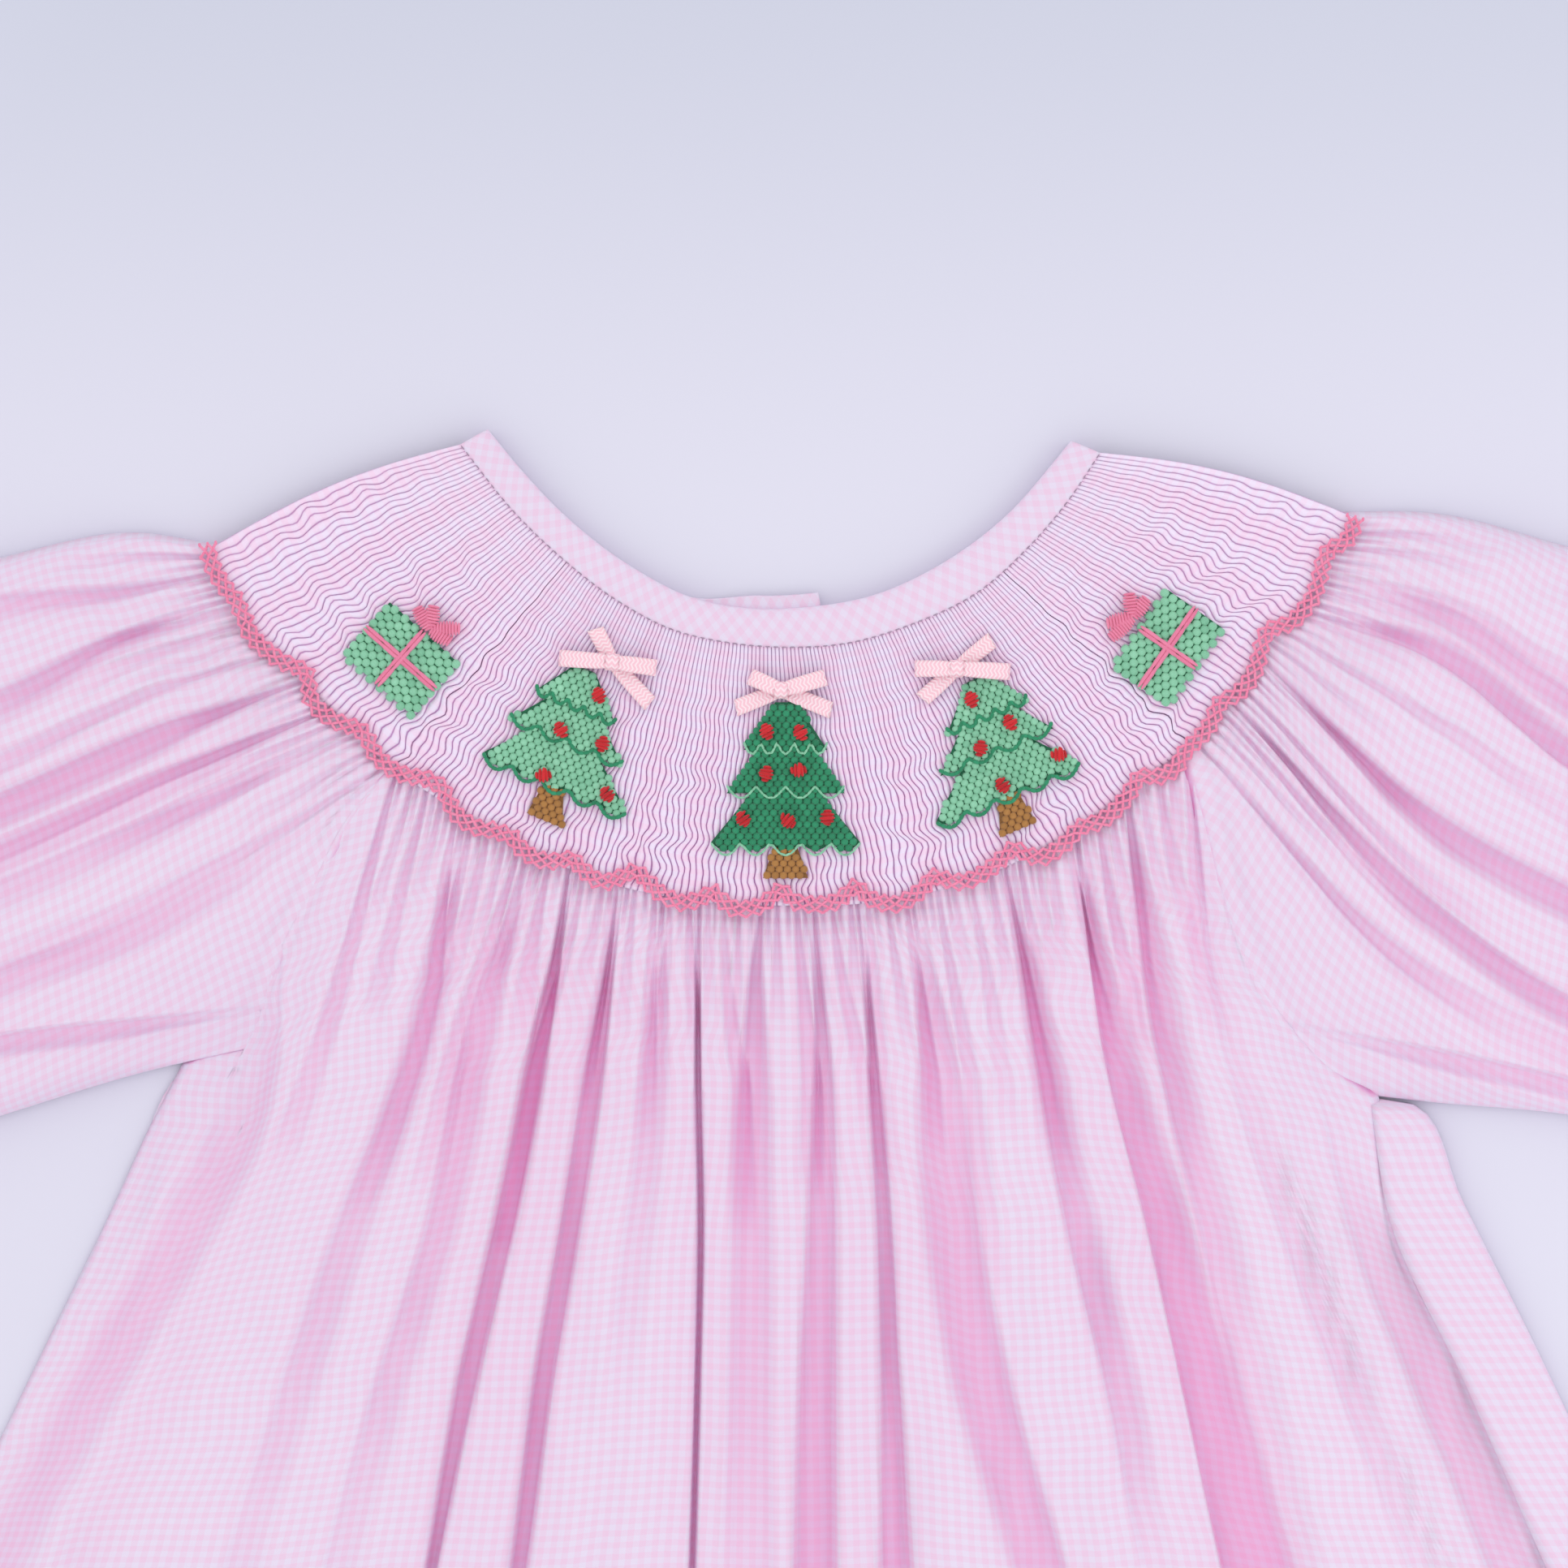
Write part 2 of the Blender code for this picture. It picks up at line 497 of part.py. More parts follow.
class Sleeve:
    """One sleeve panel, from the neck over the shoulder to the wrist, folded along its top line."""

    def __init__(self, side, tracks, steps, corner, raglan):
        self.side = side
        self.tracks = tracks
        self.steps = steps
        self.corner = corner
        self.raglan = raglan
        self.top_line = self.column(0.0)
        self.low_line = self.column(len(tracks) - 1.0)
        self.lines = [self.column(float(number)) for number in range(len(tracks))]

    def start(self, y):
        """The outward distance at which the sleeve starts at a height y, and the seam's height there."""
        corner_y = self.tracks[self.corner].start
        if y >= corner_y:
            edge = yoke_edge.plan[yoke_edge.plan[:, 0] * self.side > YOKE_FRONT]
            order = np.argsort(edge[:, 1])
            gap = RAGLAN_GAP * max(1.0 - (y - corner_y) / CORNER_EASE, 0.0)
            return abs(np.interp(y, edge[order, 1], edge[order, 0])) + gap, YOKE_TOP
        out = abs(self.raglan.other_at(1, y)) + RAGLAN_GAP
        return out, raglan_height(self.raglan.share_where(1, y))

    def column(self, place):
        """The plan line of a column at a place among the tracks, written outwards."""
        left = self.tracks[int(place)]
        right = self.tracks[min(int(place) + 1, len(self.tracks) - 1)]
        track = SleeveTrack(*(blend(a, b, place - int(place)) for a, b in zip(left, right)))
        points = [(self.start(track.start)[0], track.start)]
        points += list(zip(SLEEVE_LEVELS, (track.at_166, track.at_203)))
        points.append((FULLEST[0], blend(FULLEST[1], FULLEST[2], track.cuff)))
        points.append(cuff_point(track.cuff, 0.0))
        return Line(points)

    def height(self, x, y):
        """The outer height of the sleeve's upper side, at an outward place."""
        top = self.top_line.other_at(0, x) - y
        low = y - self.low_line.other_at(0, x)
        start, seam = self.start(y)
        if y < self.tracks[-1].start:
            seam = EDGE_TOP
        body = blend(EDGE_TOP + FOLD_TOP, SLEEVE_CREST, rounded(top / SIDE_RISE)) if x > start + 1.0 else seam
        body = min(body, blend(EDGE_TOP, SLEEVE_CREST, rounded(low / SIDE_RISE)))
        lift = ease((x - start - FLAT_BELOW_YOKE) / YOKE_RISE) if y > self.tracks[-1].start else 1.0
        deep = sum(track.deep * trough(y - line.other_at(0, x), track.width)
                   for track, line in zip(self.tracks, self.lines) if track.deep > 0.0)
        opening = ease((CUFF_EASE_END - x) / CUFF_EASE)
        raised = blend(seam, body, lift) - deep * lift * opening
        return max(blend(CUFF_TOP, raised, opening) if x > CUFF_EASE_FROM else raised, min(EDGE_TOP, seam))

    def build(self, name, parts):
        """Makes the panel as one wall: its upper side, the fold along the top line and its flat underside."""
        sheet = Sheet()
        last = len(self.tracks) - 1
        places = [number + step for number in range(last) for step in self.steps] + [float(last)]
        held = {}
        for row, way in enumerate(SLEEVE_ROWS):
            across = np.array([-math.sin(CUFF_TILT * way), -math.cos(CUFF_TILT * way)])
            for place in places:
                x, y = self.column(place).at(way) + across * (FOLD_INSET if place == 0.0 else 0.0)
                edge = row in (0, len(SLEEVE_ROWS) - 1) or place == last
                upper = self.height(x, y)
                gather = CUFF_GATHER * (-1) ** places.index(place) if row >= len(SLEEVE_ROWS) - 2 else 0.0
                sheet.add((row, place), (self.side * x, y, upper + gather), None)
                if edge:
                    held[sheet.index[row, place]] = (0, 0, -1)
                sheet.add((row, "under", place), (self.side * x, y, 0.0), None)
                if edge:
                    held[sheet.index[row, "under", place]] = (0, 0, 1)
            x, y = self.top_line.at(way)
            half = (sheet.outer[sheet.index[row, 0.0]][2]) / 2
            sheet.add((row, "fold"), (self.side * x, y, half), None)
            held[sheet.index[row, "fold"]] = (self.side * across[0], across[1], 0)
        under = [("under", place) for place in reversed(places)]
        strip = [*under, ("fold",), *((place,) for place in places)]
        smocked = [place for place in places if place <= self.corner]
        middles = {}
        for a, b in zip(smocked, smocked[1:]):
            share = blend(self.yoke_share(a), self.yoke_share(b), 0.5)
            middle = blend(a, b, 0.5)
            x, y = yoke_edge.at(share)
            sheet.add((0, middle), (x, y, YOKE_TOP + PLEAT_HEIGHT), None)
            held[sheet.index[0, middle]] = (0, 0, -1)
            middles[a, b] = middle
        for row in range(len(SLEEVE_ROWS) - 1):
            for a, b in zip(strip, strip[1:]):
                near = [(0, middles[a[0], b[0]])] if row == 0 and (a[0], b[0]) in middles else []
                sheet.face((row, *a), (row + 1, *a), (row + 1, *b), (row, *b), *near)
        sheet.inner = lower_side(sheet.outer, [face[::-self.side] for face in sheet.faces], CLOTH, held)
        for place in [*smocked, *middles.values()]:
            x, y, _ = sheet.outer[sheet.index[0, place]]
            sheet.inner[sheet.index[0, place]] = (x, y, YOKE_UNDER)
        self.add_yoke(sheet, smocked, middles)
        return sheet.build(name, PINK, parts)

    def yoke_share(self, place):
        """The share of the way round the yoke at which a column starts."""
        left = self.tracks[int(place)].start
        right = self.tracks[min(int(place) + 1, len(self.tracks) - 1)].start
        half = yoke_edge.plan[:, 0] * self.side > YOKE_FRONT
        order = np.argsort(yoke_edge.plan[half, 1])
        y = blend(left, right, place - int(place))
        return np.interp(y, yoke_edge.plan[half, 1][order], yoke_edge.run[half][order]) / yoke_edge.length

    def add_yoke(self, sheet, smocked, middles):
        """Adds the smocked part over the shoulder: pleats above, the fold, and the plain underside."""
        keys = [smocked[0]]
        for a, b in zip(smocked, smocked[1:]):
            keys += [middles[a, b], b]
        shares = [self.yoke_share(key) for key in keys]
        gap = np.array([self.side * RAGLAN_GAP, 0.0])
        for row, way in enumerate(YOKE_ROWS):
            level = row - len(YOKE_ROWS)
            for number, (key, share) in enumerate(zip(keys, shares)):
                sway = pleat_sway(row, shares[1] - shares[0]) if 0 < number < len(keys) - 1 else 0.0
                x, y = yoke_plan(share + sway, way) + (gap if number == len(keys) - 1 else 0.0)
                y -= FOLD_INSET if number == 0 else 0.0
                sheet.add((level, key), (x, y, pleat_height(number)), (x, y, YOKE_UNDER))
                if key in smocked:
                    sheet.add((level, "under", key), (x, y, 0.0), (x, y, CLOTH))
            x, y = yoke_plan(shares[0], way)
            sheet.add((level, "fold"), (x, y, YOKE_TOP / 2), (x, y - CLOTH, YOKE_TOP / 2))
        under = [("under", key) for key in reversed(smocked)] + [("fold",), (keys[0],)]
        upper = [(key,) for key in keys]
        for row in range(-len(YOKE_ROWS), 0):
            for strip in (under, upper):
                for a, b in zip(strip, strip[1:]):
                    sheet.face((row, *a), (row + 1, *a), (row + 1, *b), (row, *b))


def cuff_point(share, along):
    """An outward place at a share of the wrist line from its upper to its lower end, and a way along it."""
    across = CUFF_HALF * (1.0 - 2.0 * share)
    x = CUFF_CENTRE[0] + math.sin(CUFF_TILT) * across + math.cos(CUFF_TILT) * along
    y = CUFF_CENTRE[1] + math.cos(CUFF_TILT) * across - math.sin(CUFF_TILT) * along
    return x, y


def make_cuff(name, side, parts):
    """The wrist band: a flattened ring with rounded ends."""
    sheet = Sheet()
    for station in range(CUFF_STATIONS):
        angle = 2.0 * math.pi * station / CUFF_STATIONS
        out = math.copysign(abs(math.cos(angle)) ** CUFF_ROUND, math.cos(angle))
        rise = math.copysign(abs(math.sin(angle)) ** CUFF_ROUND, math.sin(angle))
        for row, along in enumerate((CUFF_SEAM, CUFF_DEPTH)):
            x, y = cuff_point(0.5 - 0.5 * out, along)
            inner_x, inner_y = cuff_point(0.5 - 0.5 * out * (1.0 - CLOTH / CUFF_HALF), along)
            height = CUFF_TOP / 2 * (1.0 + rise)
            inner = CUFF_TOP / 2 + (CUFF_TOP / 2 - CLOTH) * rise
            sheet.add((row, station), (side * x, y, height), (side * inner_x, inner_y, inner))
    for station in range(CUFF_STATIONS):
        after = (station + 1) % CUFF_STATIONS
        sheet.face((0, station), (1, station), (1, after), (0, after))
    return sheet.build(name, PINK, parts)


def make_back(name, side, parts):
    """Half of the back, flat and lapped at the closing. The right half wraps up to the front's edge."""
    raglan, outline = (raglan_left, side_left) if side < 0 else (raglan_right, side_right)
    corner_share = yoke_edge.share_where(0, raglan.at(0)[0])
    neck_corner = neck_seam.at(corner_share)
    seam_rows = [raglan.at(i / RAGLAN_ROWS) for i in range(RAGLAN_ROWS + 1)]
    side_rows = [outline.at(share) for share in (SIDE_START, *np.linspace(0, 1, SIDE_ROWS + 1)[1:])]
    edge = [neck_corner, *seam_rows, *side_rows]
    first_side = len(seam_rows) + 1
    front_edge = np.array([skirt_lines[-1].at(way) for way in SKIRT_ROWS])
    lap = PLACKET_HALF * -side
    sheet = Sheet()
    top = len(edge)
    for row, corner in enumerate(edge):
        down = row / (top - 1)
        wrapped = side > 0 and row >= first_side
        centre_y = blend(neck_seam.other_at(0, lap), hem_y(lap), down)
        reaches = [PLACKET_FLAT * i / LAP_COLUMNS for i in range(LAP_COLUMNS + 1)]
        reaches.append(PLACKET_FLAT + PLACKET_SLOPE)
        rest = abs(corner[0] - lap) - reaches[-1]
        reaches += [reaches[-1] + rest * i / BACK_COLUMNS for i in range(1, BACK_COLUMNS + 1)]
        for column, reach in enumerate(reaches):
            x = lap + side * reach
            y = blend(centre_y, corner[1], reach / reaches[-1])
            if row == 0:
                y = neck_seam.other_at(0, x)
            elif row == top - 1:
                y = hem_y(x)
            low = PLACKET_UNDER if side > 0 and reach <= PLACKET_FLAT else 0.0
            x -= FOLD_INSET if wrapped and column == len(reaches) - 1 else 0.0
            sheet.add((row, column), (x, y, low), (x, y, low + CLOTH))
        if wrapped:
            x, y = corner
            seam = np.interp(-y, -front_edge[:, 1], front_edge[:, 0]) + WRAP_GAP
            sheet.add((row, "fold"), (x, y, WRAP_TOP / 2), (x - CLOTH, y, WRAP_TOP / 2))
            sheet.add((row, "wrap"), (x - FOLD_INSET, y, WRAP_TOP), (x - FOLD_INSET, y, WRAP_TOP - CLOTH))
            sheet.add((row, "seam"), (seam, y, WRAP_TOP), (seam, y, WRAP_TOP - CLOTH))
    for row in range(top - 1):
        for column in range(BACK_COLUMNS + LAP_COLUMNS + 1):
            sheet.face((row, column), (row, column + 1), (row + 1, column + 1), (row + 1, column))
        if side > 0 and row >= first_side:
            strip = (BACK_COLUMNS + LAP_COLUMNS + 1, "fold", "wrap", "seam")
            for a, b in zip(strip, strip[1:]):
                sheet.face((row, a), (row, b), (row + 1, b), (row + 1, a))
    return sheet.build(name, PINK, parts)


def make_binding(parts):
    """The neck binding: one folded strip round the neck. Its ends lap at the centre back."""
    sheet = Sheet()
    stations = []
    lapped = neck_seam.share_where(0, TAB_END)
    under = neck_seam.share_where(0, UNDERLAP_END)
    for i in range(BINDING_STATIONS // 2):
        share = blend(lapped, BINDING_TURN, i / (BINDING_STATIONS // 2 - 1))
        tab = ease((share - TAB_FROM) / TAB_EASE)
        stations.append((share, blend(0.0, PLACKET_UNDER, tab), TAB_RISE * tab))
    stations.append((0.0, None, 0.0))
    for i in range(BINDING_STATIONS):
        share = blend(BINDING_TURN, 1.0 - BINDING_TURN, i / (BINDING_STATIONS - 1))
        stations.append((share, BINDING_UNDER, 0.0))
    stations.append((1.0, None, 0.0))
    for i in range(BINDING_STATIONS // 2):
        share = blend(1.0 - BINDING_TURN, under, i / (BINDING_STATIONS // 2 - 1))
        stations.append((share, 0.0, 0.0))
    for row, (share, low, rise) in enumerate(stations):
        seam = neck_seam.at(share) - neck_seam.normal(share) * -SEAM_GAP
        edge = binding_edge.at(share) + np.array([0.0, rise])
        for column, (x, y) in enumerate((seam, edge)):
            if low is None:
                inset = CLOTH * (0.5 - share) * 2
                middle = BINDING_TOP / 2
                sheet.add((row, column), (x, y, middle), (x + inset, y - CLOTH / 2, middle))
            elif low == BINDING_UNDER:
                sheet.add((row, column), (x, y, BINDING_TOP), (x, y, BINDING_UNDER))
            else:
                sheet.add((row, column), (x, y, low), (x, y, low + CLOTH))
    for row in range(len(stations) - 1):
        sheet.face((row, 0), (row, 1), (row + 1, 1), (row + 1, 0))
    return sheet.build("neck_binding", PINK, parts)


def scallop(share):
    """The middle of the coral row at a share of its way: arches that hang from the yoke's edge."""
    hang = abs(math.sin(math.pi * SCALLOPS * share)) - 0.5
    return yoke_edge.at(share) - yoke_edge.normal(share) * SCALLOP_DEPTH * hang


def make_wave_stitch(parts):
    """The coral smocking row along the scallops."""
    sheet = Sheet()
    count = SCALLOPS * ROW_STATIONS
    for station in range(count + 1):
        share = blend(ROW_END, 1.0 - ROW_END, station / count)
        middle = scallop(share)
        out = yoke_edge.normal(share)
        for column, reach in enumerate((-ROW_WIDTH / 2, ROW_WIDTH / 2)):
            x, y = middle + out * reach
            sheet.add((station, column), (x, y, STITCH_UNDER + STITCH_THICK), (x, y, STITCH_UNDER))
    for station in range(count):
        sheet.face((station, 0), (station + 1, 0), (station + 1, 1), (station, 1))
    return sheet.build("wave_stitch", CORAL, parts)


def make_plate(name, outline, low, thick, colour, parts):
    """A flat piece of the outline's shape at a height: a filled and extruded 2D curve, made a mesh."""
    curve = bpy.data.curves.new(name + "_outline", "CURVE")
    curve.dimensions = "2D"
    curve.fill_mode = "BOTH"
    curve.extrude = thick / 2 * MM
    spline = curve.splines.new("POLY")
    spline.points.add(len(outline) - 1)
    for point, (x, y) in zip(spline.points, outline):
        point.co = (x * MM, y * MM, 0.0, 1.0)
    spline.use_cyclic_u = True
    drawn = bpy.data.objects.new(name + "_outline", curve)
    parts.objects.link(drawn)
    graph = bpy.context.evaluated_depsgraph_get()
    mesh = bpy.data.meshes.new_from_object(drawn.evaluated_get(graph))
    bpy.data.objects.remove(drawn, do_unlink=True)
    form = bmesh.new()
    form.from_mesh(mesh)
    bmesh.ops.remove_doubles(form, verts=form.verts, dist=WELD)
    bmesh.ops.recalc_face_normals(form, faces=form.faces)
    form.to_mesh(mesh)
    form.free()
    plate = add_object(name, mesh, colour, parts)
    plate.location.z = (low + thick / 2) * MM
    return plate


def turned(points, angle, centre):
    """Plan points turned about the origin and moved to a centre."""
    cos, sin = math.cos(angle), math.sin(angle)
    return [(centre[0] + x * cos - y * sin, centre[1] + x * sin + y * cos) for x, y in points]


def tree_outline(tree):
    """The tree's outline from its tiers, apex at the origin and growing downwards, with a lobed hem."""
    right = []
    for top, top_half, low, low_half in TREE_TIERS:
        right.append((top_half * tree.half_width, -top * tree.height))
        right.append((low_half * tree.half_width, -low * tree.height))
    hem = []
    count = HEM_LOBES * 4
    for i in range(1, count):
        x = tree.half_width * (1.0 - 2.0 * i / count)
        lobe = abs(math.sin(math.pi * HEM_LOBES * i / count)) * HEM_LOBE_DEPTH
        hem.append((x, -tree.height * (1.0 + lobe)))
    left = [(-x, y) for x, y in reversed(right)]
    return right + hem + left


def make_tree(tree, parts):
    """The stitched tree and its trunk, which lie on the pleats side by side."""
    colour = DARK_GREEN if tree.tilt == 0.0 else MINT
    outline = turned(tree_outline(tree), tree.tilt, tree.apex)
    make_plate(tree.name, outline, STITCH_UNDER, STITCH_THICK, colour, parts)
    top = -tree.height * (1.0 + HEM_LOBE_DEPTH) - SEAM_GAP
    foot = top - tree.trunk_long
    right = [(tree.trunk_top, top), (tree.trunk_foot, foot)]
    left = [(-x, y) for x, y in reversed(right)]
    outline = turned(right + left, tree.tilt, tree.apex)
    make_plate(tree.name.replace("tree", "trunk"), outline, STITCH_UNDER, STITCH_THICK, BROWN, parts)


def box_outline(width, height):
    """A rectangle about the origin."""
    right = [(width / 2, -height / 2), (width / 2, height / 2)]
    return right + [(-x, y) for x, y in reversed(right)]


def cross_outline(width, height, band):
    """An upright cross of one band's width that reaches a rectangle's four sides."""
    quarter = [(width / 2, band / 2), (band / 2, band / 2), (band / 2, height / 2)]
    top = quarter + [(-x, y) for x, y in reversed(quarter)]
    return top + [(x, -y) for x, y in reversed(top)]


def make_gift(gift, parts):
    """The stitched box, its ribbon cross laid over it, and its padded bow beside the corner."""
    outline = turned(box_outline(gift.width, gift.height), gift.turn, gift.centre)
    make_plate(gift.name, outline, STITCH_UNDER, STITCH_THICK, MINT, parts)
    cross = turned(cross_outline(gift.width, gift.height, GIFT_RIBBON), gift.turn, gift.centre)
    make_plate(gift.name + "_ribbon", cross, TRIM_UNDER, STITCH_THICK, ROSE, parts)
    loops = []
    for i in range(ROSE_POINTS):
        angle = 2.0 * math.pi * i / ROSE_POINTS
        reach = blend(ROSE_WAIST, ROSE_LOOP, abs(math.cos(angle)) ** ROSE_FORM)
        loops.append((reach * math.cos(angle), reach * math.sin(angle)))
    bow = turned(loops, gift.turn, gift.bow_at)
    make_plate(gift.name + "_bow", bow, TRIM_UNDER, ROSE_THICK, ROSE, parts)


def bow_outline(bow):
    """The outline of a bow's four arms. They run from the knot to their ends and meet in crotches."""
    knot = np.array(bow.knot)
    ends = [np.array(end) for end in bow.ends]
    ends.sort(key=lambda end: math.atan2(end[1] - knot[1], end[0] - knot[0]))
    ways = [(end - knot) / np.linalg.norm(end - knot) for end in ends]
    outline = []
    for number, (end, way) in enumerate(zip(ends, ways)):
        side = np.array([-way[1], way[0]]) * RIBBON_WIDTH / 2
        middle = way + ways[(number + 1) % len(ways)]
        crotch = knot + middle / np.linalg.norm(middle) * RIBBON_WIDTH * CROTCH
        outline += [end - side, end + side, crotch]
    return outline


def make_bow(bow, parts, cutters):
    """A ribbon bow: four flat arms and the knot over their crossing, joined to one piece."""
    arms = make_plate(bow.name, bow_outline(bow), TRIM_UNDER, RIBBON_THICK, RIBBON_PINK, parts)
    middle = (*bow.knot, TRIM_UNDER + KNOT_SIZE[2] / 2)
    bpy.ops.mesh.primitive_cube_add(size=1.0, location=[c * MM for c in middle])
    block = bpy.context.object
    block.scale = [size * MM for size in KNOT_SIZE]
    block.name = bow.name + "_knot_cutter"
    block.hide_render = True
    block.display_type = "WIRE"
    for collection in list(block.users_collection):
        collection.objects.unlink(block)
    cutters.objects.link(block)
    union = arms.modifiers.new("knot", "BOOLEAN")
    union.operation = "UNION"
    union.object = block


def centre_on_origin(panels, objects):
    """Moves every object so that the dress's box, which its panels fill, is centred over the origin."""
    points = np.array([vertex.co[:] for panel in panels for vertex in panel.data.vertices])
    middle = (points.min(axis=0) + points.max(axis=0)) / 2
    for item in objects:
        item.location.x -= middle[0]
        item.location.y -= middle[1]


def main():
    """Builds the whole dress in an empty scene."""
    for item in list(bpy.data.objects):
        bpy.data.objects.remove(item, do_unlink=True)
    parts = bpy.data.collections.new("smocked_dress")
    cutters = bpy.data.collections.new("cutters")
    bpy.context.scene.collection.children.link(parts)
    bpy.context.scene.collection.children.link(cutters)
    left = Sleeve(-1, SLEEVE_TRACKS_LEFT, SLEEVE_STEPS_LEFT, SLEEVE_CORNER_LEFT, raglan_left)
    right = Sleeve(1, SLEEVE_TRACKS_RIGHT, SLEEVE_STEPS_RIGHT, SLEEVE_CORNER_RIGHT, raglan_right)
    panels = [
        make_front(parts),
        left.build("sleeve_left", parts),
        right.build("sleeve_right", parts),
        make_back("back_left", -1, parts),
        make_back("back_right", 1, parts),
        make_cuff("cuff_left", -1, parts),
        make_cuff("cuff_right", 1, parts),
        make_binding(parts),
    ]
    make_wave_stitch(parts)
    for tree in TREES:
        make_tree(tree, parts)
    for gift in GIFTS:
        make_gift(gift, parts)
    for bow in BOWS:
        make_bow(bow, parts, cutters)
    centre_on_origin(panels, bpy.data.objects)


main()
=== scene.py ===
"""The looks of a small child's smocked dress: gingham cloth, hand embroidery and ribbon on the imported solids.

Plan sizes are in millimetres from the middle of the view, with X to the right, Y towards the neck and Z up
from the table. Cloth.place turns them into the frame's metres.
"""

import logging
import math
from dataclasses import dataclass, field
from enum import Enum
from typing import Callable, NamedTuple, Sequence

import bmesh
import bpy
import numpy as np
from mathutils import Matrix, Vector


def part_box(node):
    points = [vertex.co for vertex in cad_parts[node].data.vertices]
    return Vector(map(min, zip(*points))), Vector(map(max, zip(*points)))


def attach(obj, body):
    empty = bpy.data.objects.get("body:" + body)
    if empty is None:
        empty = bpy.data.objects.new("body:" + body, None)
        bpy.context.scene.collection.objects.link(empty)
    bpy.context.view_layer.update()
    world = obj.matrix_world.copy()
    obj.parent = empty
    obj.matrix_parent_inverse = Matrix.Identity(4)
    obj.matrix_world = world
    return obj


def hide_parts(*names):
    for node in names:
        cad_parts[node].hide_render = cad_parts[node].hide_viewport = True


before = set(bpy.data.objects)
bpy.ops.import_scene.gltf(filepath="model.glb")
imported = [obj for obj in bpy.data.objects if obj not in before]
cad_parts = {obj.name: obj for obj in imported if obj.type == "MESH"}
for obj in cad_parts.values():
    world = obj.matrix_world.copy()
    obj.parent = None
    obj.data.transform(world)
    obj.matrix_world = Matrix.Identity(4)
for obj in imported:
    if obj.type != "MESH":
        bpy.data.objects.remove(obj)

LOG = logging.getLogger("smocked_dress")
MM = 0.001
SEED = 41

# Thickness of the cotton, and the heights that the solids give
CLOTH = 0.45
YOKE_TOP = 5.6
EDGE_TOP = 2.7
WRAP_TOP = 5.0
SKIRT_CREST = 16.5
SLEEVE_CREST = 22.0
CUFF_TOP = 9.0
SIDE_RISE = 40.0
FLAT_BELOW_YOKE = 4.6
YOKE_RISE = 40.0
SHOULDER_RISE = 22.0

# The cloth's relief: the deepest fold and gather, how far below the yoke gathers end and how far they keep
# their own way, and how narrow a fold's floor and edges are where it starts
FOLD_LIMIT = 9.2
GATHER_LIMIT = 3.4
GATHER_END = 105.0
GATHER_HOLD = 25.0
NARROW_FLOOR = 0.4
NARROW_EDGE = 0.9
NARROW_REACH_SKIRT = 60.0
NARROW_REACH_SLEEVE = 50.0
VALLEY_STEPS = 60

# Rows of the large sheets, which are fine near the yoke, and of the raglan seam's part of the back
FINE_REACH = 50.0
FINE_STEP = 2.2
RAGLAN_ROWS = 36

# The gingham: one repeat across and down the cloth
CHECK_ACROSS = 3.3
CHECK_DOWN = 3.0

# Plan lines of the seams
NECK_SEAM = ((-83, 87.5), (-69, 70), (-56.5, 58), (-42, 47), (-28.5, 40), (-15, 36.8), (1, 35.5), (16, 36.5),
             (33, 41.5), (49.5, 49.5), (62, 60.5), (72, 72), (81, 85.3))
BINDING_EDGE = ((-76.2, 91.3), (-68.5, 81.9), (-55.9, 68.7), (-39.3, 56), (-23.3, 47.9), (-8, 45.2),
                (6, 45.6), (22.5, 48.5), (39.3, 56), (58, 69.9), (69.5, 83), (73.8, 88.3))
YOKE_EDGE = ((-148, 60.5), (-139, 43), (-121, 25), (-100, 4.6), (-88, -3.4), (-71, -13), (-50, -23),
             (-25, -29), (0, -30.5), (28, -29), (52, -22.5), (76, -10), (92, 2), (104, 11), (113, 22),
             (123, 35.5), (133, 47), (140, 58), (146.8, 68.7))
RAGLAN_LEFT = ((-100, 4.6), (-111, -7), (-121.4, -27), (-130.6, -45.4), (-136, -62), (-139.7, -69))
RAGLAN_RIGHT = ((104, 11), (108, -4), (118.4, -42.6), (128.9, -61), (143.4, -75.6), (151.2, -80.9))
SIDE_LEFT = ((-139.7, -69), (-153.5, -72.7), (-168.6, -100.6), (-188.4, -141.3), (-202.9, -170.3),
             (-260, -290), (-312, -396))
SIDE_RIGHT = ((151.2, -80.9), (163.2, -83.0), (174.9, -107.1), (194.7, -146.6), (215, -190),
              (265, -292), (313, -396))
BINDING_TOP_Y = 91.3
RAGLAN_WAY = (0.0, 0.35, 0.7, 1.0)
RAGLAN_HEIGHT = (YOKE_TOP, 9.5, 8.5, EDGE_TOP)
HEM_Y = -402.0
HEM_RISE = 8.0
HALF_HEM = 312.0
HEM_WAVE = 1.5
HEM_WAVES = 3.2
SHOULDER_BULGE = 3.3
SHOULDER_REACH = 0.05

Array = np.ndarray


class Side(Enum):
    """The two sides of the dress, as the picture shows them."""

    LEFT = -1
    RIGHT = 1

    def named(self, part: str) -> str:
        """Returns the name of this side's part."""
        return f"{part}_{self.name.lower()}"


class Fold(NamedTuple):
    """A valley down the skirt: its x by level, its depth and its floor's width by level, and its edges."""

    top: float
    at_70: float
    at_112: float
    at_154: float
    at_202: float
    hem: float
    deep: tuple
    floor_left: tuple
    floor_right: tuple
    soft_left: float
    soft_right: float
    lean: float


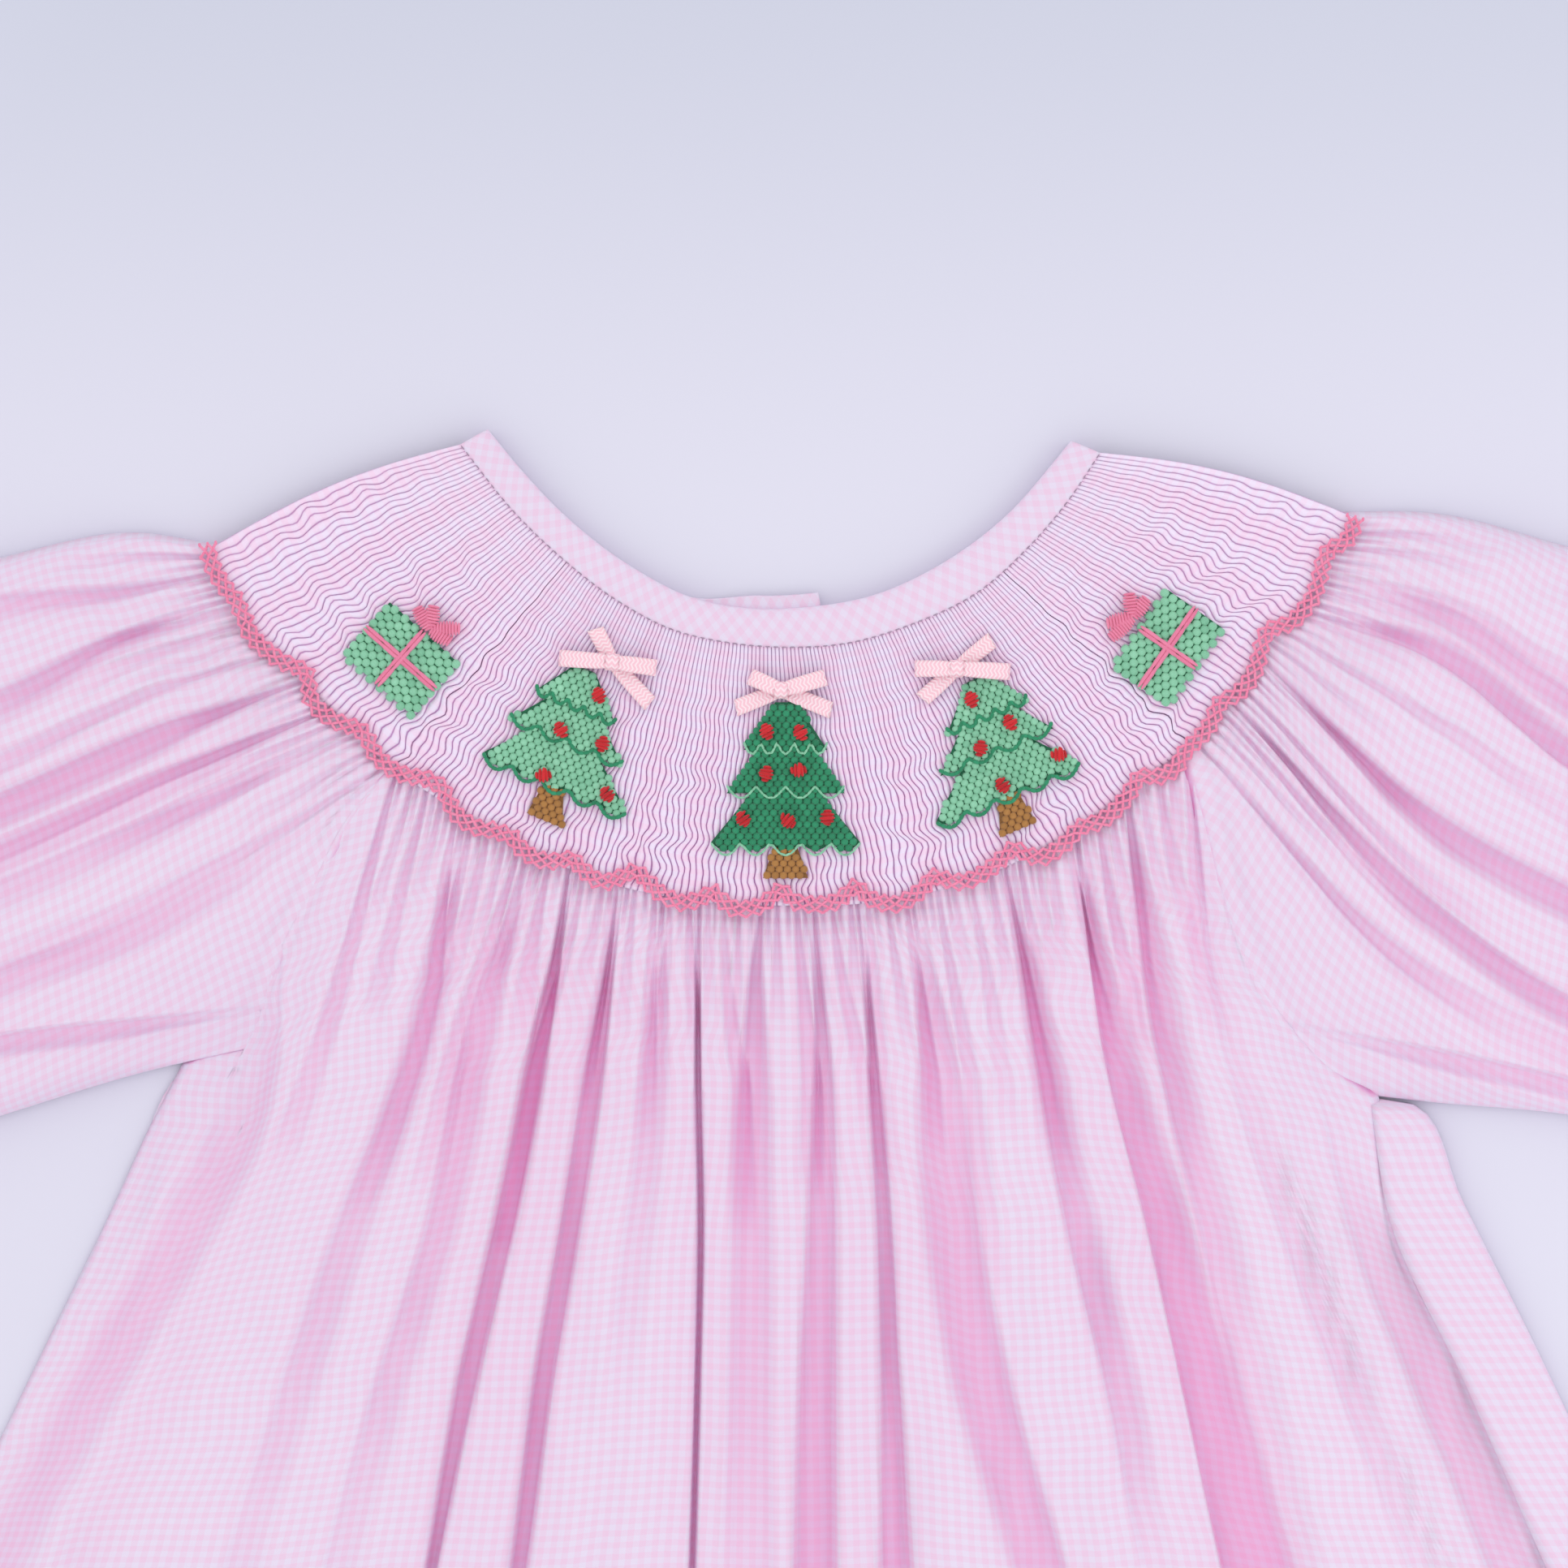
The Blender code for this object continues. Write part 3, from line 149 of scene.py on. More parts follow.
LEVELS = (-70.0, -112.0, -154.0, -202.0)
DEPTH_LEVELS = (70.0, 150.0, 202.0)
NONE = (0.0, 0.0, 0.0)
SKIRT_FOLDS = (
    Fold(-153.5, -153, -172.5, -193, -216, -308, NONE, NONE, NONE, 4, 4, 0),
    Fold(-139.7, -141, -162, -185, -210, -296, NONE, NONE, NONE, 4, 4, 0),
    Fold(-129.4, -133, -152, -177, -204, -284, (4.5, 5, 4), (3, 4, 5), (3, 4, 5), 9, 7, 0),
    Fold(-100.0, -121, -137, -158, -181, -252, (0, 1.5, 2), (1, 2, 2), (1, 2, 2), 8, 8, 0),
    Fold(-82.0, -95, -110.5, -125, -140, -201, (5, 4, 2), (1, 1, 1), (1.5, 2, 1), 4, 6, 0),
    Fold(-65.3, -80, -88.5, -102, -115, -166, (7, 4.5, 2), (1, 1, 1), (1.5, 2, 2), 3, 6, 0),
    Fold(-54.8, -63.6, -71.8, -81.7, -91, -131, (9, 9.5, 9), (2.4, 2.2, 0.8), (2.4, 2.2, 0.8), 2, 1.6, 1.2),
    Fold(-42.2, -48.5, -55, -62.2, -68.7, -98, (9, 9.5, 9), (2, 2, 1.2), (2, 2, 1.6), 1.8, 2, 1.0),
    Fold(-31.1, -33.2, -37, -42.2, -46.4, -66, (5, 1, 0.5), (0.8, 1, 1), (0.8, 1, 1), 4, 5, 0),
    Fold(-22.5, -22.7, -22.1, -23.1, -24.4, -36, (8, 9.5, 9), (0.5, 0.4, 0.4), (0.5, 0.6, 0.6),
         1.4, 1.2, 1.4),
    Fold(-6.5, -7.6, -8.2, -8.6, -9.2, -12, (7, 5, 3.5), (1.6, 3, 4), (1.6, 3, 4), 4, 4, 0),
    Fold(7.1, 10, 9.5, 8.5, 8, 12, (6.5, 8, 8.5), (1, 3.4, 4.2), (1.6, 4, 4.6), 2.2, 2.4, -0.8),
    Fold(19.7, 23.1, 26, 27.7, 29, 44, (6, 8.5, 9), (0.8, 1.6, 3.2), (0.8, 2, 3.6), 2, 1.6, -1.2),
    Fold(33.4, 39.3, 42.8, 51.2, 66, 96, (6, 7.5, 7), (3, 5, 4.4), (4, 5, 4.4), 4.5, 3, 0),
    Fold(57.5, 65.7, 73.3, 83.8, 93, 128, (7, 6, 1.5), (0.8, 0.8, 0.8), (1.5, 3, 2), 2.2, 6, 0.6),
    Fold(74.5, 81.5, 92, 101.2, 111.7, 158, (8.5, 9.5, 9.5), (0.4, 0.4, 0.4), (4, 10, 14), 1.4, 7, 1.6),
    Fold(88.0, 97.5, 108, 118, 130, 188, (7, 3, 2), (0.8, 2, 2), (1.2, 3, 3), 2.2, 7, 0),
    Fold(104.0, 114.5, 127.9, 143.6, 162.5, 232, (2.5, 3.5, 1.5), (0.8, 1, 1), (1.5, 2, 2), 2.4, 7, 0.5),
    Fold(135.0, 136, 148, 166, 186, 270, (0, 6, 5), (1.5, 3, 3), (2, 4, 5), 4, 8, 0.6),
    Fold(151.2, 150.5, 156.5, 175.8, 197, 290, NONE, NONE, NONE, 4, 4, 0),
)


class SleeveFold(NamedTuple):
    """A valley out along a sleeve: its y by level, its share of the cuff, its depth, floor and edges."""

    start: float
    at_166: float
    at_203: float
    cuff: float
    deep: float
    floor_up: float
    floor_down: float
    soft_up: float
    soft_down: float
    lean: float


SLEEVE_LEFT = (
    SleeveFold(60.5, 63.3, 56.7, 0.0, 0.0, 1, 1, 4, 4, 0),
    SleeveFold(55.5, 50.0, 45.4, 0.1, 4.5, 0.8, 1.5, 3, 6, 0),
    SleeveFold(46.0, 38.0, 19.3, 0.26, 6.0, 0.8, 2, 3, 7, 0.6),
    SleeveFold(27.0, 10.5, -6.1, 0.44, 9.0, 1.2, 3, 2.4, 6, 1.0),
    SleeveFold(20.0, -3.0, -19.5, 0.54, 5.0, 0.8, 2, 3, 6, 0),
    SleeveFold(14.5, -12.5, -28.5, 0.62, 5.0, 0.8, 1.6, 3, 6, 0),
    SleeveFold(4.6, -37.0, -50.0, 0.76, 6.5, 1, 2, 3, 6, 0.6),
    SleeveFold(-12.0, -45.0, -56.0, 0.8, 0.0, 1, 1, 4, 4, 0),
    SleeveFold(-34.0, -53.0, -61.0, 0.84, 0.0, 1, 1, 4, 4, 0),
    SleeveFold(-58.0, -61.0, -65.5, 0.87, 7.0, 0.8, 1.6, 2, 4, 1.2),
    SleeveFold(-68.2, -74.6, -85.9, 1.0, 0.0, 1, 1, 4, 4, 0),
)
SLEEVE_RIGHT = (
    SleeveFold(68.7, 68.5, 59.4, 0.0, 0.0, 1, 1, 4, 4, 0),
    SleeveFold(53.0, 44.5, 20.0, 0.22, 7.5, 1, 2, 2.4, 6, 0.8),
    SleeveFold(45.0, 31.0, 2.0, 0.34, 9.0, 3, 0.8, 7, 1.8, -1.4),
    SleeveFold(33.0, -10.0, -30.0, 0.54, 9.0, 1.2, 2.4, 3, 6, 0.8),
    SleeveFold(23.0, -33.0, -58.0, 0.7, 9.0, 1.2, 2, 2.4, 6, 0.8),
    SleeveFold(11.0, -51.0, -68.0, 0.79, 3.5, 1, 2, 4, 7, 0),
    SleeveFold(-25.0, -60.0, -72.0, 0.84, 0.0, 1, 1, 4, 4, 0),
    SleeveFold(-62.0, -69.0, -77.0, 0.9, 6.5, 0.8, 1.6, 2, 4, 1.0),
    SleeveFold(-80.0, -82.0, -85.5, 1.0, 0.0, 1, 1, 4, 4, 0),
)
SLEEVE_LEVELS = (166.0, 203.0)
FULLEST = (300.0, 26.0, -116.0)
CUFF_CENTRE = (368.0, -61.0)
CUFF_TILT = math.radians(16.0)
CUFF_HALF = 38.0
CUFF_DEPTH = 15.0


def blend(low: Array, high: Array, share: Array) -> Array:
    """Returns the value at a share of the way between two."""
    return low + (high - low) * share


def ease(share: Array) -> Array:
    """Returns a smooth step from 0 to 1."""
    share = np.clip(share, 0.0, 1.0)
    return share * share * (3.0 - 2.0 * share)


def rounded(share: Array) -> Array:
    """Returns a quarter of a round shoulder from 0 to 1."""
    share = np.clip(share, 0.0, 1.0)
    return np.sqrt(1.0 - (1.0 - share) ** 2)


class PlanLine:
    """A smooth plan line through a few points."""

    def __init__(self, points: Sequence, steps: int = 12) -> None:
        """Fits a Hermite curve by chord length.

        Args:
            points: the line's points in order.
            steps: how many pieces each span is cut into.
        """
        knots = np.array(points, float)
        chord = run_along(knots)
        slope = np.gradient(knots, chord, axis=0)
        pieces = []
        t = np.linspace(0.0, 1.0, steps, endpoint=False)[:, None]
        for i in range(len(knots) - 1):
            span = chord[i + 1] - chord[i]
            begin = (2 * t**3 - 3 * t**2 + 1) * knots[i] + (t**3 - 2 * t**2 + t) * span * slope[i]
            end = (3 * t**2 - 2 * t**3) * knots[i + 1] + (t**3 - t**2) * span * slope[i + 1]
            pieces.append(begin + end)
        self.plan = np.vstack(pieces + [knots[-1:]])
        self.run = run_along(self.plan)
        self.length = float(self.run[-1])

    def at(self, share: Array) -> Array:
        """Returns the points at shares of the length, with x and y on the last axis."""
        run = np.clip(share, 0.0, 1.0) * self.length
        return np.stack([np.interp(run, self.run, self.plan[:, axis]) for axis in (0, 1)], axis=-1)

    def share_where(self, axis: int, value: Array) -> Array:
        """Returns the shares of the length at which x (axis 0) or y (axis 1) has a value."""
        order = np.argsort(self.plan[:, axis])
        return np.interp(value, self.plan[order, axis], self.run[order]) / self.length

    def other_at(self, axis: int, value: Array) -> Array:
        """Returns the other coordinate where x (axis 0) or y (axis 1) has a value."""
        order = np.argsort(self.plan[:, axis])
        return np.interp(value, self.plan[order, axis], self.plan[order, 1 - axis])

    def normal(self, share: Array, step: float = 0.004) -> Array:
        """Returns the unit vectors to the left of the line's way."""
        way = self.at(share + step) - self.at(share - step)
        left = np.stack([-way[..., 1], way[..., 0]], axis=-1)
        return left / np.linalg.norm(left, axis=-1, keepdims=True)


def run_along(points: Array) -> Array:
    """Returns how far along a path each of its points lies."""
    return np.concatenate([[0.0], np.cumsum(np.linalg.norm(np.diff(points, axis=0), axis=1))])


neck_seam = PlanLine(NECK_SEAM)
binding_edge = PlanLine(BINDING_EDGE)
yoke_edge = PlanLine(YOKE_EDGE)
raglan_left = PlanLine(RAGLAN_LEFT)
raglan_right = PlanLine(RAGLAN_RIGHT)
side_left = PlanLine(SIDE_LEFT)
side_right = PlanLine(SIDE_RIGHT)
CORNER_SHARE_LEFT = float(yoke_edge.share_where(0, RAGLAN_LEFT[0][0]))
CORNER_SHARE_RIGHT = float(yoke_edge.share_where(0, RAGLAN_RIGHT[0][0]))


@dataclass
class Valley:
    """One valley in the cloth: a line across = f(along), with its depth, its floor and its edges."""

    along: Array
    across: Array
    deep: Array
    before: Array
    after: Array
    soft_before: Array
    soft_after: Array
    lean: float = 0.0
    dip: float = 0.22
    around: float = 9.0

    def apply(self, along: Array, across: Array) -> tuple:
        """Works out what the valley does at places in the cloth.

        Args:
            along: the places' distance along the valleys.
            across: the places' distance across them, growing from the first side to the second.

        Returns:
            How far the cloth drops, and how far it shifts across where one side overhangs the valley.
        """
        deep = np.interp(along, self.along, self.deep, left=0.0, right=float(self.deep[-1]))
        line, before, after, soft_before, soft_after = (
            np.interp(along, self.along, values)
            for values in (self.across, self.before, self.after, self.soft_before, self.soft_after))
        away = across - line
        wall = ease(1.0 + (away + before) / soft_before) * ease(1.0 - (away - after) / soft_after)
        outside = np.maximum(np.maximum(-before - away, away - after), 0.0)
        around = np.exp(-((outside / self.around) ** 2))
        drop = deep * ((1.0 - self.dip) * wall + self.dip * around)
        reach = deep / self.around * self.lean
        shoulder = -np.sign(self.lean) * (np.where(self.lean > 0, before + soft_before, after + soft_after))
        width = 1.2 + np.where(self.lean > 0, soft_before, soft_after)
        shift = reach * np.exp(-(((away - shoulder) / width) ** 2))
        return drop, shift


def opening(along: Array, reach: float, floors: Sequence, edges: Sequence) -> list:
    """Returns the widths of a valley's floors and edges, which grow from the yoke on."""
    grown = ease((along - along[0]) / reach)
    return ([blend(NARROW_FLOOR, width, grown) for width in floors]
            + [blend(NARROW_EDGE, width, grown) for width in edges])


def folded(valleys: list, along: Array, across: Array) -> tuple:
    """Returns how far all folds together lower the cloth, and how far they shift it."""
    drop, shift = np.zeros(along.shape), np.zeros(along.shape)
    for valley in valleys:
        down, over = valley.apply(along, across)
        drop += down
        shift += over
    return FOLD_LIMIT * np.tanh(drop / FOLD_LIMIT), shift


def gathered(valleys: list, along: Array, across: Array, below: Array) -> Array:
    """Returns how far all gathers together lower the cloth, by its distance below the yoke too."""
    small = np.zeros(along.shape)
    near = below < GATHER_END
    for valley in valleys:
        small[near] += valley.apply(along[near], across[near])[0]
    return GATHER_LIMIT * np.tanh(small / GATHER_LIMIT)


def painted_fold_shade(drop: Array, small: Array, power: float, gather_share: float) -> Array:
    """Returns the painted shade of the folds, from 0 to 1: how deep in folds the cloth lies, by what the folds
    and the gathers lower it.
    """
    by_folds = 0.85 * (drop / FOLD_LIMIT) ** power
    by_gathers = gather_share * np.clip(small / GATHER_LIMIT, 0.0, 1.0) ** 1.1
    return np.clip(by_folds + by_gathers, 0.0, 1.0)


def beside(start: float, tops: Sequence, tracks: Array, away: Array) -> Array:
    """Returns where a gather runs, which starts between folds and goes over to their ways.

    Args:
        start: the gather's place at the yoke.
        tops: the folds' places there.
        tracks: each fold's place, by distance.
        away: the distances from the yoke.
    """
    across = np.array([np.interp(start, tops, column) for column in tracks.T])
    first = across[np.argmin(np.abs(away))]
    return across + (start - first) * np.exp(-np.maximum(away, 0.0) / GATHER_HOLD)


def row_ways(longest: float, rest: int) -> Array:
    """Returns the rows' distances from the yoke: fine steps near it, and a number of coarse ones."""
    return np.concatenate([np.arange(0.0, FINE_REACH, FINE_STEP), np.linspace(FINE_REACH, longest, rest)])


def walked(guides: list, downs: Array) -> Array:
    """Returns points down each guide line, by the rows' ways: x, y and the distance from the line's end."""
    grid = np.empty((len(downs), len(guides), 3))
    beyond = (downs - FINE_REACH) / (downs[-1] - FINE_REACH)
    for i, guide in enumerate(guides):
        near = min(1.0, guide.length / (2.0 * FINE_REACH))
        run = np.where(downs < FINE_REACH, downs * near, blend(FINE_REACH * near, guide.length, beyond))
        grid[:, i] = np.column_stack([guide.at(run / guide.length), guide.length - run])
    return grid


def fanned(grid: Array, guide_places: Sequence, places: Array) -> Array:
    """Returns rows of guide points spread to more columns, by the columns' places among the guides."""
    plan = np.empty((len(grid), len(places), 3))
    for row, axis in np.ndindex(len(grid), 3):
        plan[row, :, axis] = np.interp(places, guide_places, grid[row, :, axis])
    return plan


class Cloth:
    """Turns grids of points into cloth pieces of the frame."""

    offset_y = 0.0
    weft_step = 4.0

    @classmethod
    def settle(cls) -> None:
        """Finds how far the plan's origin lies from the frame's, from the neck binding's solid."""
        cls.offset_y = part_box("neck_binding")[1][1] / MM - BINDING_TOP_Y

    @classmethod
    def place(cls, points: Array) -> Array:
        """Returns plan points as metres of the frame."""
        moved = np.array(points, float)
        moved[..., 1] += cls.offset_y
        return moved * MM

    @classmethod
    def mesh(cls, name: str, points: Array, faces: Sequence, uv: Array, values: Array | None = None,
             layer_name: str = "cloth", value_name: str = "painted_fold_shade") -> bpy.types.Object:
        """Makes a mesh object from points.

        Args:
            name: the piece's name.
            points: its points, in plan millimetres.
            faces: its faces.
            uv: for each point its place in the cloth or along the stitch, in millimetres.
            values: for each point its painted fold shade, from 0 to 1, or its thread's tone.
            layer_name: the name of the UV map.
            value_name: the name of the attribute that holds the values.

        Returns:
            The new object, linked to the scene.
        """
        mesh = bpy.data.meshes.new(name)
        mesh.from_pydata(cls.place(points.reshape(-1, 3)).tolist(), [], faces)
        layer = mesh.uv_layers.new(name=layer_name)
        loops = np.empty(len(mesh.loops), np.int32)
        mesh.loops.foreach_get("vertex_index", loops)
        layer.data.foreach_set("uv", (uv.reshape(-1, 2)[loops] * MM).astype(np.float32).ravel())
        if values is not None:
            attribute = mesh.attributes.new(value_name, "FLOAT", "POINT")
            attribute.data.foreach_set("value", np.asarray(values, np.float32).ravel())
        mesh.shade_smooth()
        made = bpy.data.objects.new(name, mesh)
        bpy.context.scene.collection.objects.link(made)
        return made

    @staticmethod
    def grid_faces(rows: int, columns: int, closed: bool = False, first: int = 0) -> list:
        """Returns the faces of a grid whose rows run down and whose columns run to the right, facing up."""
        faces = []
        for row in range(rows - 1):
            for column in range(columns if closed else columns - 1):
                after = (column + 1) % columns
                low, high = first + (row + 1) * columns, first + row * columns
                faces.append((high + column, low + column, low + after, high + after))
        return faces

    @classmethod
    def thicken(cls, piece: bpy.types.Object, thickness: float = CLOTH) -> None:
        """Gives a piece its thickness, inwards from its outer side."""
        bpy.ops.object.select_all(action="DESELECT")
        bpy.context.view_layer.objects.active = piece
        piece.select_set(True)
        wall = piece.modifiers.new("cloth", "SOLIDIFY")
        wall.thickness = thickness * MM
        wall.offset = -1.0
        bpy.ops.object.modifier_apply(modifier=wall.name)
        piece.select_set(False)

    @staticmethod
    def cloth_run(points: Array) -> Array:
        """Returns each row's length of cloth from its middle column, as the cloth's own place across."""
        step = np.linalg.norm(np.diff(points, axis=1), axis=-1)
        run = np.concatenate([np.zeros((len(points), 1)), np.cumsum(step, axis=1)], axis=1)
        return run - run[:, [points.shape[1] // 2]]

    @staticmethod
    def even_run(run: Array, hold: float = 0.7) -> Array:
        """Evens the rows' lengths, so that the grain follows the folds.

        Args:
            run: each row's cloth run.
            hold: the share of the difference between the rows that is evened out.

        Returns:
            The evened run.
        """
        length = run[:, -1] - run[:, 0]
        usual = np.median(length)
        return run * ((usual / length) ** hold)[:, None]

    @classmethod
    def weft_run(cls, points: Array, down: Array) -> Array:
        """Returns each point's place across the cloth, measured along the weft.

        Args:
            points: the rows of points.
            down: each point's distance from the cloth's lower end, along it.

        Returns:
            The distance along the weft from the middle column.
        """
        levels = np.arange(0.0, down.max() + cls.weft_step, cls.weft_step)
        laid = np.empty((len(levels), points.shape[1], 3))
        for column in range(points.shape[1]):
            line, far = points[::-1, column], down[::-1, column]
            for axis in (0, 1, 2):
                laid[:, column, axis] = np.interp(levels, far, line[:, axis])
            onward = line[-2, :2] - line[-10, :2]
            onward /= np.linalg.norm(onward)
            laid[:, column, :2] += np.maximum(levels - far[-1], 0.0)[:, None] * onward
        run = cls.even_run(cls.cloth_run(laid))
        return np.column_stack([np.interp(down[:, column], levels, run[:, column])
                                for column in range(points.shape[1])])


def hex_colour(code: str) -> tuple:
    """Turns an sRGB hex value into linear RGBA."""
    parts = [int(code[i:i + 2], 16) / 255.0 for i in (1, 3, 5)]
    linear = [p / 12.92 if p <= 0.04045 else ((p + 0.055) / 1.055) ** 2.4 for p in parts]
    return (*linear, 1.0)


class Graph:
    """A material's nodes."""

    def __init__(self, name: str) -> None:
        """Makes a new material with its surface shader."""
        self.material = bpy.data.materials.new(name)
        self.material.use_nodes = True
        self.tree = self.material.node_tree
        self.surface = self.tree.nodes["Principled BSDF"]

    def add(self, kind: str, settings: dict | None = None, **inputs: object) -> bpy.types.Node:
        """Adds a node with its settings and links.

        Args:
            kind: the node's type.
            settings: values of the node's own properties.
            inputs: values or sockets by input; a name stands for itself, and in_0 for the first socket.

        Returns:
            The node.
        """
        node = self.tree.nodes.new(kind)
        for key, value in (settings or {}).items():
            setattr(node, key, value)
        for key, value in inputs.items():
            self.feed(node.inputs[int(key[3:]) if key.startswith("in_") else key.replace("_", " ")], value)
        return node

    def feed(self, socket: bpy.types.NodeSocket, value: object) -> None:
        """Links a socket to another one, or gives it a value."""
        if isinstance(value, bpy.types.NodeSocket):
            self.tree.links.new(value, socket)
        else:
            socket.default_value = value

    def math(self, operation: str, first: object, second: object = 0.0, third: object = 0.0,
             clamp: bool = False) -> bpy.types.NodeSocket:
        """Adds a Math node and returns its output."""
        settings = {"operation": operation, "use_clamp": clamp}
        return self.add("ShaderNodeMath", settings, in_0=first, in_1=second, in_2=third).outputs[0]

    def stripes(self, place: object, repeat: float) -> bpy.types.NodeSocket:
        """Adds a sine wave over a place in metres, with a repeat in millimetres."""
        return self.math("SINE", self.math("MULTIPLY", place, 2.0 * math.pi / (repeat * MM)))

    def mix(self, share: object, first: object, second: object, way: str = "MIX") -> bpy.types.NodeSocket:
        """Adds a colour Mix node and returns its output."""
        settings = {"data_type": "RGBA", "blend_type": way}
        return self.add("ShaderNodeMix", settings, in_0=share, in_6=first, in_7=second).outputs[2]

    def places(self, uv_map: str) -> tuple:
        """Adds a UV map node and returns its output, its first axis and its second."""
        place = self.add("ShaderNodeUVMap", {"uv_map": uv_map}).outputs[0]
        split = self.add("ShaderNodeSeparateXYZ", in_0=place)
        return place, split.outputs[0], split.outputs[1]

    def finish(self, **inputs: object) -> bpy.types.Material:
        """Sets or links the surface shader's inputs and returns the material."""
        for key, value in inputs.items():
            self.feed(self.surface.inputs[key.replace("_", " ")], value)
        return self.material


@dataclass(frozen=True)
class Gingham:
    """Yarn-dyed cotton poplin in a 1/16 inch check: where pink yarns cross pink it is pinkest, and where they
    cross white it is a half tone of fine threads. It is matt, with a thin nap that lights up at its edges.
    Folds
    and pleat valleys carry painted shade: the deep colour, multiplied in by the fold shade attribute.
    """

    name: str = "yarn_dyed_gingham_cotton"
    white: str = "#E2E1F2"
    pink: str = "#EAC3DE"
    # deep is the colour of the painted shade in folds, gathers and pleat valleys
    deep: str = "#FFA9DA"
    contrast: float = 0.5
    yarn: float = 0.30
    edge: float = 2.6
    slub: float = 0.5
    turned: bool = False

    def material(self) -> bpy.types.Material:
        """Returns the cloth's material, which reads the cloth's own UV map in metres."""
        g = Graph(self.name)
        place = g.add("ShaderNodeUVMap", {"uv_map": "cloth"}).outputs[0]
        if self.turned:
            place = g.add("ShaderNodeVectorRotate", {"rotation_type": "Z_AXIS"}, Vector=place,
                          Angle=math.radians(45.0)).outputs[0]
        split = g.add("ShaderNodeSeparateXYZ", in_0=place)
        noise = g.add("ShaderNodeTexNoise", {"noise_dimensions": "2D"}, Vector=place, Scale=900.0, Detail=2.0)
        uneven = g.math("MULTIPLY_ADD", noise.outputs[0], self.slub, -self.slub / 2.0)
        bands = []
        for axis, repeat in ((0, CHECK_ACROSS), (1, CHECK_DOWN)):
            wave = g.stripes(split.outputs[axis], repeat)
            bands.append(g.math("MULTIPLY_ADD", g.math("ADD", wave, uneven), self.edge, 0.5, clamp=True))
        weave = g.math("MULTIPLY", *(g.stripes(split.outputs[axis], self.yarn) for axis in (0, 1)))
        cover = g.math("MULTIPLY", g.math("ADD", *bands), 0.5)
        cover = g.math("MULTIPLY_ADD", cover, self.contrast, 0.5 - self.contrast / 2.0)
        cover = g.math("MULTIPLY_ADD", weave, 0.08, cover, clamp=True)
        colour = g.mix(cover, hex_colour(self.white), hex_colour(self.pink))
        # Painted shade: the fold shade attribute multiplies the checks towards the deep colour, most in deep
        # folds
        shade = g.add("ShaderNodeAttribute", {"attribute_name": "painted_fold_shade"}).outputs[2]
        colour = g.mix(shade, colour, hex_colour(self.deep), "MULTIPLY")
        bump = g.add("ShaderNodeBump", Strength=0.25, Distance=0.0001, Height=weave)
        return g.finish(Base_Color=colour, Roughness=0.88, Specular_IOR_Level=0.2, Sheen_Weight=0.25,
                        Sheen_Roughness=0.4, Normal=bump.outputs[0])


@dataclass(frozen=True)
class Floss:
    """Stranded embroidery cotton: six loosely twisted shiny strands that show as fine slanting lines."""

    name: str
    light: str
    dark: str
    strand: float = 0.28
    slant: float = 0.55

    def material(self) -> bpy.types.Material:
        """Returns the thread's material, whose strands follow each stitch's own UV map."""
        g = Graph(self.name)
        _, along, across = g.places("stitch")
        strands = g.stripes(g.math("MULTIPLY_ADD", along, self.slant, across), self.strand)
        tone = g.add("ShaderNodeAttribute", {"attribute_name": "tone"}).outputs[2]
        share = g.math("ADD", g.math("MULTIPLY_ADD", strands, 0.28, 0.62), tone, clamp=True)
        colour = g.mix(share, hex_colour(self.dark), hex_colour(self.light))
        bump = g.add("ShaderNodeBump", Strength=0.5, Distance=0.00012, Height=strands)
        return g.finish(Base_Color=colour, Roughness=0.62, Specular_IOR_Level=0.35, Sheen_Weight=0.3,
                        Sheen_Roughness=0.35, Normal=bump.outputs[0])


@dataclass(frozen=True)
class Grosgrain:
    """Narrow polyester grosgrain ribbon: heavy ribs across it, which meet in a fine zigzag of floats."""

    name: str = "grosgrain_polyester_ribbon"
    light: str = "#FFEAF0"
    dark: str = "#F6B4C6"
    rib: float = 1.05
    zigzag: float = 0.6

    def material(self) -> bpy.types.Material:
        """Returns the ribbon's material, which reads the ribbon's own UV map in metres."""
        g = Graph(self.name)
        _, along, across = g.places("cloth")
        back_and_forth = g.math("PINGPONG", across, self.rib * MM)
        ribs = g.stripes(g.math("MULTIPLY_ADD", back_and_forth, self.zigzag, along), self.rib)
        share = g.math("MULTIPLY_ADD", ribs, 0.35, 0.62)
        colour = g.mix(share, hex_colour(self.dark), hex_colour(self.light))
        bump = g.add("ShaderNodeBump", Strength=0.6, Distance=0.00015, Height=ribs)
        return g.finish(Base_Color=colour, Roughness=0.5, Specular_IOR_Level=0.4, Sheen_Weight=0.15,
                        Normal=bump.outputs[0])


@dataclass(frozen=True)
class Paper:
    """Seamless backdrop paper: matt and pale, with hardly any grain, and painted shade towards its far edge."""

    name: str = "backdrop_paper"
    colour: str = "#DCDCEA"
    falloff_shade_colour: str = "#C6CBDA"
    near_y: float = 0.2
    far_y: float = 0.42

    def material(self) -> bpy.types.Material:
        """Returns the paper's material."""
        g = Graph(self.name)
        place = g.add("ShaderNodeTexCoord").outputs["Object"]
        split = g.add("ShaderNodeSeparateXYZ", in_0=place)
        # Painted shade: the paper darkens between near_y and far_y, where the light falls off
        away = g.add("ShaderNodeMapRange", {"interpolation_type": "SMOOTHSTEP"}, Value=split.outputs[1],
                     From_Min=self.near_y, From_Max=self.far_y)
        colour = g.mix(away.outputs[0], hex_colour(self.colour), hex_colour(self.falloff_shade_colour))
        grain = g.add("ShaderNodeTexNoise", Vector=place, Scale=160.0, Detail=3.0)
        bump = g.add("ShaderNodeBump", Strength=0.02, Distance=0.0002, Height=grain.outputs[0])
        return g.finish(Base_Color=colour, Roughness=0.9, Specular_IOR_Level=0.1, Normal=bump.outputs[0])


